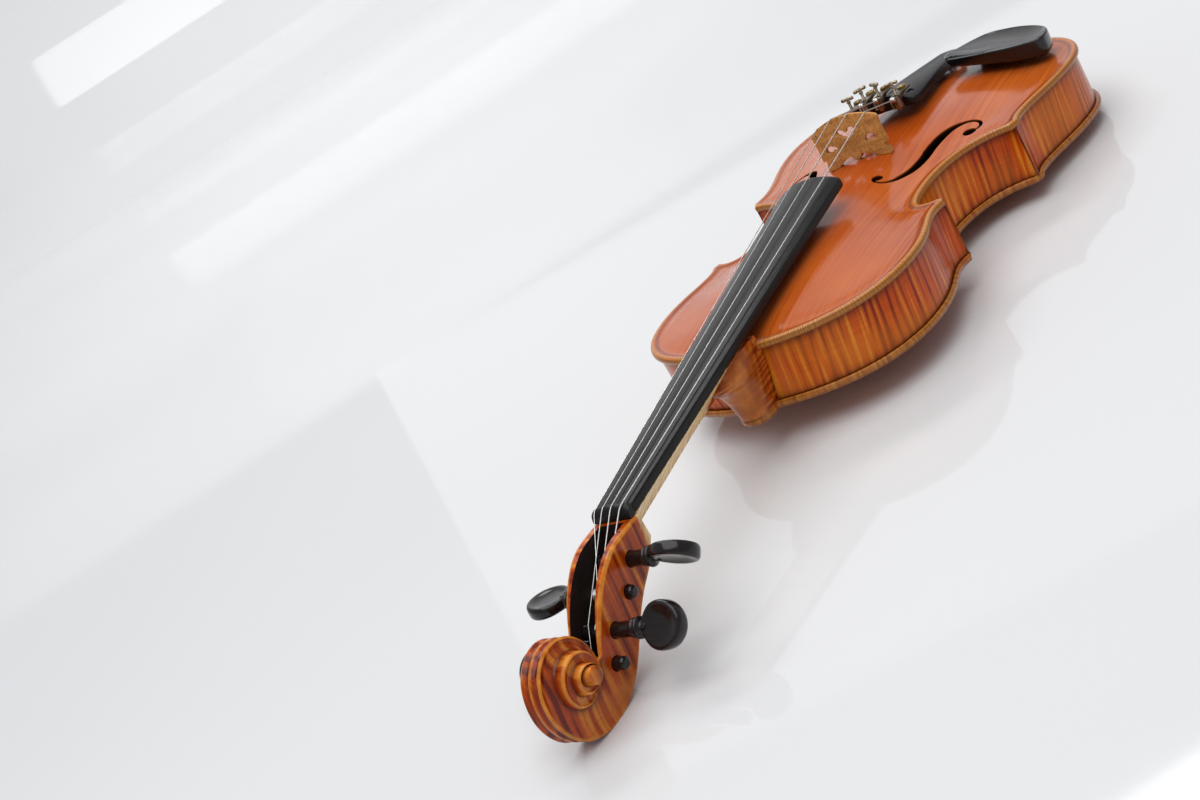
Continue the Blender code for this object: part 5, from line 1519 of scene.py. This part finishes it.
def tuner_thumb():
    """The T-shaped thumb head on its hub."""
    bar = [(-x, r) for x, r in THUMB_BAR] + [(0, 0.92)] + list(reversed(THUMB_BAR))
    head = tube("head", [(x, 0, 0.25) for x, _ in bar], [r for _, r in bar], 20)
    profile = rounded(((0, -0.75), (1.25, -0.75), (1.35, 0.2), (0.9, 1.35), (0, 1.4)), 0.2)
    return boolean(head, [turned("hub", profile, (0, 0, 0), (0, 0, 1), 24)], "UNION")


def build_tuners(plate_metal, brass, screw_metal):
    """Four tuners: bracket with its ring nut, lever, rod and thumb head, each on its own body."""
    bracket, (nut, stud) = tuner_bracket(), ring_nut()
    lever, rod, thumb = tuner_lever(), tuner_rod(), tuner_thumb()
    for label, x, degrees in zip(STRING_NAMES, STRING_AT_TAIL, THUMB_TURNS):
        base = tail_surface(x, TAIL_Y[0])
        spot = (x, SCREW_Y, base + 0.9)
        turn = Matrix.Rotation(math.radians(degrees), 4, "Z")
        publish(f"tuner_bracket_{label}_plate", moved(bracket, spot), "violin", plate_metal,
                (f"tuner_bracket_{label}",), sharp=35)
        publish(f"tuner_ring_{label}", joined("ring", [moved(nut, spot), moved(stud, spot)]), "violin", brass,
                sharp=35)
        publish(f"tuner_lever_{label}_arm", moved(lever, (x, LEVER_Y, base - 3.0)),
                f"tuner_lever_{label}_body", plate_metal, (f"tuner_lever_{label}",), sharp=35)
        publish(f"tuner_rod_{label}_screw", moved(rod, (x, SCREW_Y, base + 3.0)), f"tuner_rod_{label}_body",
                screw_metal, (f"tuner_rod_{label}",), sharp=30)
        publish(f"tuner_thumb_{label}_head", moved(thumb, (x, SCREW_Y, base + 10.4), turn),
                f"tuner_thumb_{label}_body", screw_metal, (f"tuner_thumb_{label}",), sharp=40)


def build_tail_fittings(material, gut):
    """End pin, saddle and the tail gut looped round the pin."""
    profile = rounded(((0, 13.6), (3.0, 13.4), (5.2, 12.0), (6.0, 9.6), (5.4, 7.2), (4.4, 5.4), (4.2, 4.2),
                       (5.4, 3.4), (6.4, 2.2), (6.4, 0.8), (3.55, 0.5), (3.3, -17), (0, -17.4)), 0.8, 5)
    face = BODY_LENGTH - OVERHANG
    mesh = turned("endpin", profile, (0, face + GAP, ENDPIN_Z), (0, 1, 0), 48)
    publish("endpin_turned", mesh, "violin", material, ("endpin",), sharp=40)
    rings = []
    for y, high, inset in ((348.9, 51.2, 0.4), (349.3, 51.9, 0.1), (350.4, 53.2, 0), (352.0, 53.9, 0),
                           (353.6, 54.0, 0), (355.2, 53.5, 0), (356.1, 52.6, 0.1), (356.4, 51.8, 0.3)):
        ring = [(SADDLE_HALF - inset, y, 46.3)]
        for x in ((SADDLE_HALF - inset) * c for c in cosines(32)):
            ring.append((x, y, max(high - 3.0 * float(ease(abs(x), 11.5, 18.2)), 46.4)))
        ring.append((-SADDLE_HALF + inset, y, 46.3))
        rings.append(ring)
    publish("saddle_ebony", loft("saddle", rings), "violin", material, ("saddle",), sharp=35)
    path = [(4.4, 345.6, 52.7), (4.4, 349.0, 54.6), (4.4, 352.0, 55.3), (4.4, 355.0, 54.9),
            (4.5, 357.4, 52.6), (4.8, 358.3, 47.0), (5.5, 358.4, 38.0), (6.0, 358.2, 31.0)]
    loop = [math.pi * i / 8 for i in range(1, 8)]
    under = [(6.0 * math.cos(angle), 358.2, ENDPIN_Z - 6.0 * math.sin(angle)) for angle in loop]
    path += under + [(-x, y, z) for x, y, z in reversed(path)]
    publish("tailgut_loop", tube("tailgut", smooth(path, 4), 0.85, 14), "violin", gut,
            ("tailgut",), sharp=60)


# ---------------------------------------------------------------- chin rest
# The rest's rim as (x, y, z), and its section from under the middle, round the rim and into
# the dish as (share of the way out, drop from the rim, fixed height if any).
CHIN_RIM = ((17, 309, 70.2), (20.5, 300.5, 70.4), (24.5, 301.5, 70.3), (25.5, 299.2, 70.3),
            (23.0, 297.0, 70.3), (30, 294, 70.0), (42, 290.5, 69.4), (56, 287, 68.7), (71, 284.2, 67.8),
            (83, 283.8, 67.3),
            (89.6, 286.4, 66.9), (90.4, 292, 66.6), (88.6, 301, 66.0), (83.5, 311, 65.3), (72, 323, 64.7),
            (57, 334, 64.3), (44, 340.5, 64.1), (33, 343.5, 64.3), (24, 337, 65.3), (18, 322, 67.6))
CHIN_CENTRE = (55.0, 312.0)
CHIN_MIDDLE = 67.0
CHIN_SIDE = ((0.05, 0.0, 59.4), (0.3, 0.0, 59.4), (0.72, 0.0, 60.4), (0.9, 7.6, None), (0.965, 6.9, None),
             (0.99, 6.0, None), (0.997, 3.4, None), (1.0, 1.1, None), (0.997, 0.6, None), (0.985, 0.18, None),
             (0.965, 0.02, None), (0.945, 0.1, None), (0.92, 0.5, None), (0.8, 1.9, None), (0.55, 3.6, None),
             (0.25, 4.3, None), (0.05, 4.4, None))
CLAMP_AT = 0.75
CLAMP_SPACING = 30.0


def build_chinrest(material):
    """A dished rest with a tall glossy front wall, standing on a sole over the clamp."""
    rim = smooth(CHIN_RIM, 5, closed=True)
    cx, cy = CHIN_CENTRE
    lines = []
    for x, y, z in rim:
        line = []
        for scale, drop, level in CHIN_SIDE:
            px = cx + (x - cx) * scale
            deeper = float(np.interp(px, (17, 90), (0.7, 1.6)))
            height = CHIN_MIDDLE + (z - CHIN_MIDDLE) * scale - drop * deeper
            line.append((px, cy + (y - cy) * scale, level or height))
        lines.append(smooth(line, 2))
    cup = loft("chinrest", list(zip(*lines)))
    curve = bezier(LOWER_BOUT[1], 40)
    i = round(CLAMP_AT * 40)
    (ax, ay), (bx, by) = curve[i - 1], curve[i + 1]
    along = Vector((bx - ax, by - ay)).normalized()
    turn = Matrix(((along.x, along.y, 0, 0), (along.y, -along.x, 0, 0), (0, 0, 1, 0), (0, 0, 0, 1)))
    half = CLAMP_SPACING / 2
    foot = [(-half, -15.0), (half, -15.0), (half, -8.5), (-half, -8.5)]
    place = Matrix.Translation((*curve[i], 0)) @ turn
    sole = slab("sole", [foot], 53.9, 61.5, 0.5, place)
    publish("chinrest_carved", boolean(cup, [sole], "UNION"), "violin", material,
            ("chinrest_cup",), sharp=42)


# ---------------------------------------------------------------- stage
# Soft boxes: name, place and aim in metres, size, watts, colour.
LIGHTS = (
    ("window_box", (-1.15, 1.75, 1.05), (0.0, 0.1, 0.05), (1.9, 1.0), 3.0, (1.0, 0.99, 0.98)),
    ("overhead_box", (0.25, -0.45, 2.2), (0.0, 0.0, 0.0), (2.4, 2.4), 41.0, (1.0, 1.0, 1.0)),
    ("backdrop_box", (-1.5, 1.5, 2.6), (-2.0, 2.0, 0.0), (2.4, 1.0), 47.0, (1.0, 1.0, 1.0)),
)
# The sweep in metres: how far it runs, the radius of its bend and its height behind.
SWEEP_FAR = 2.6
SWEEP_BEND = 0.6
SWEEP_TOP = 0.85
SENSOR_WIDTH = 36.0


def build_table():
    """A pale glossy sweep."""
    material, tree, shader = surface("pale_table", Roughness=0.06, Specular_IOR_Level=0.3)
    place = object_space(tree)
    haze = noise(tree, place, 1.3, 2.0, 0.5)
    colour = ramp(tree, haze, ((0.3, (0.70, 0.705, 0.71)), (0.7, (0.74, 0.742, 0.745))))
    feed(tree, shader, colour, roughness_of(tree, noise(tree, place, 40.0, 3.0), 0.03, 0.07))
    profile = [(-3.0, 0.0), (SWEEP_FAR, 0.0)]
    for a in (math.pi / 2 * i / 16 for i in range(1, 17)):
        profile.append((SWEEP_FAR + SWEEP_BEND * math.sin(a), SWEEP_BEND - SWEEP_BEND * math.cos(a)))
    profile.append((SWEEP_FAR + SWEEP_BEND, SWEEP_TOP))
    turn = Matrix.Rotation(math.radians(45), 3, "Z")
    points = [turn @ Vector((x, y, z)) for x in (-5.0, 5.0) for y, z in profile]
    count = len(profile)
    mesh = bpy.data.meshes.new("sweep")
    mesh.from_pydata(points, [], [(i, i + 1, count + i + 1, count + i) for i in range(count - 1)])
    mesh.shade_smooth()
    mesh.materials.append(material)
    link(bpy.data.objects.new("sweep", mesh))


def build_lights():
    """An even pale surround and the soft boxes."""
    world = bpy.data.worlds.new("studio")
    world.use_nodes = True
    background = world.node_tree.nodes["Background"].inputs
    background["Color"].default_value = (0.93, 0.95, 1.0, 1.0)
    background["Strength"].default_value = 0.42
    bpy.context.scene.world = world
    bpy.context.scene.view_settings.view_transform = "Standard"
    for name, at, aim, size, power, colour in LIGHTS:
        light = bpy.data.lights.new(name, "AREA")
        light.shape = "RECTANGLE"
        light.size, light.size_y = size
        light.energy = power
        light.color = colour
        obj = link(bpy.data.objects.new(name, light))
        obj.location = at
        obj.rotation_euler = (Vector(aim) - Vector(at)).to_track_quat("-Z", "Y").to_euler()


def build_camera():
    """The camera at the photographed angle."""
    camera = bpy.data.cameras.new("camera")
    camera.lens = CAMERA_LENS
    camera.sensor_width = SENSOR_WIDTH
    camera.clip_start = 0.01
    obj = link(bpy.data.objects.new("camera", camera))
    at, aim = Vector(CAMERA_AT) * MM, Vector(CAMERA_AIM) * MM
    look = (aim - at).to_track_quat("-Z", "Y").to_matrix()
    roll = Matrix.Rotation(math.radians(CAMERA_ROLL), 3, "Z")
    obj.matrix_world = Matrix.Translation(at) @ (look @ roll).to_4x4()
    bpy.context.scene.camera = obj


# ---------------------------------------------------------------- assembly
HALF_FINE = half_outline()

build_table()
build_lights()
build_camera()
TOP_WOOD = spruce_top()
BACK_WOOD = maple_back()
RIB_WOOD = maple_ribs()
NECK_WOOD = neck_wood()
# Near-black painted shade for the pegbox's inner walls and floor.
PEGBOX_SHADE = ebony("pegbox_inside_shade", (0.016, 0.01, 0.008), (0.4, 0.6), (0.04, 0.02, 0.012))
EBONY = ebony("ebony_board", (0.008, 0.0075, 0.0075), (0.26, 0.4), (0.02, 0.018, 0.017), shine=0.22)
EBONY_PEG = ebony("ebony_turned", (0.007, 0.005, 0.005), (0.1, 0.22), (0.02, 0.013, 0.011), coat=0.2,
                  along=(0.05, 1, 1))
BLACK_REST = ebony("chinrest_satin", (0.006, 0.006, 0.0065), (0.12, 0.24), (0.012, 0.012, 0.012),
                   along=(0.2, 0.2, 0.2), shine=0.5, depth=0.000001)
BRIDGE_WOOD = bare_wood("bridge_maple_bare", (0.5, 0.22, 0.05), (0.74, 0.37, 0.11), (math.radians(90), 0, 0),
                        flecks=0.7)
SPRUCE_INNER = bare_wood("spruce_bare", (0.52, 0.36, 0.2), (0.68, 0.5, 0.3))
WILLOW = bare_wood("willow_bare", (0.56, 0.42, 0.26), (0.7, 0.54, 0.36))
NICKEL = metal("tuner_nickel_worn", (0.36, 0.31, 0.24), (0.14, 0.1, 0.06))
BRASS = metal("tuner_brass_worn", (0.5, 0.36, 0.15), (0.22, 0.14, 0.05))
SCREW = metal("tuner_screw_worn", (0.42, 0.36, 0.27), (0.18, 0.13, 0.07), grime=0.5)
CLAMP = metal("clamp_nickel", (0.72, 0.7, 0.66), (0.5, 0.47, 0.42), (0.14, 0.32))
WOUND = wound("string_wound", (0.78, 0.77, 0.75), (0.42, 0.41, 0.4), 0.24)
PLAIN = metal("string_plain", (0.8, 0.79, 0.78), (0.6, 0.59, 0.57), (0.16, 0.3))
GUT = ebony("tailgut_nylon", (0.012, 0.012, 0.013), (0.3, 0.45), (0.02, 0.02, 0.02))

build_top(TOP_WOOD)
build_back(BACK_WOOD)
build_ribs(RIB_WOOD)
build_neck(NECK_WOOD, PEGBOX_SHADE)
build_fingerboard(EBONY)
build_nut(EBONY)
build_bridge(BRIDGE_WOOD)
build_pegs(EBONY_PEG)
build_tailpiece(EBONY)
build_tuners(NICKEL, BRASS, SCREW)
build_tail_fittings(EBONY, GUT)
build_chinrest(BLACK_REST)
build_strings((WOUND, WOUND, WOUND, PLAIN))

KEPT = {"bass_bar": SPRUCE_INNER, "sound_post": SPRUCE_INNER, "neck_block": WILLOW, "end_block": WILLOW,
        "corner_block": WILLOW, "lining": WILLOW, "chinrest_top_bracket": CLAMP, "chinrest_foot": CLAMP,
        "chinrest_barrel": CLAMP}
for node_name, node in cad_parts.items():
    for start, finish in KEPT.items():
        if node_name.startswith(start):
            node.data.materials.clear()
            node.data.materials.append(finish)
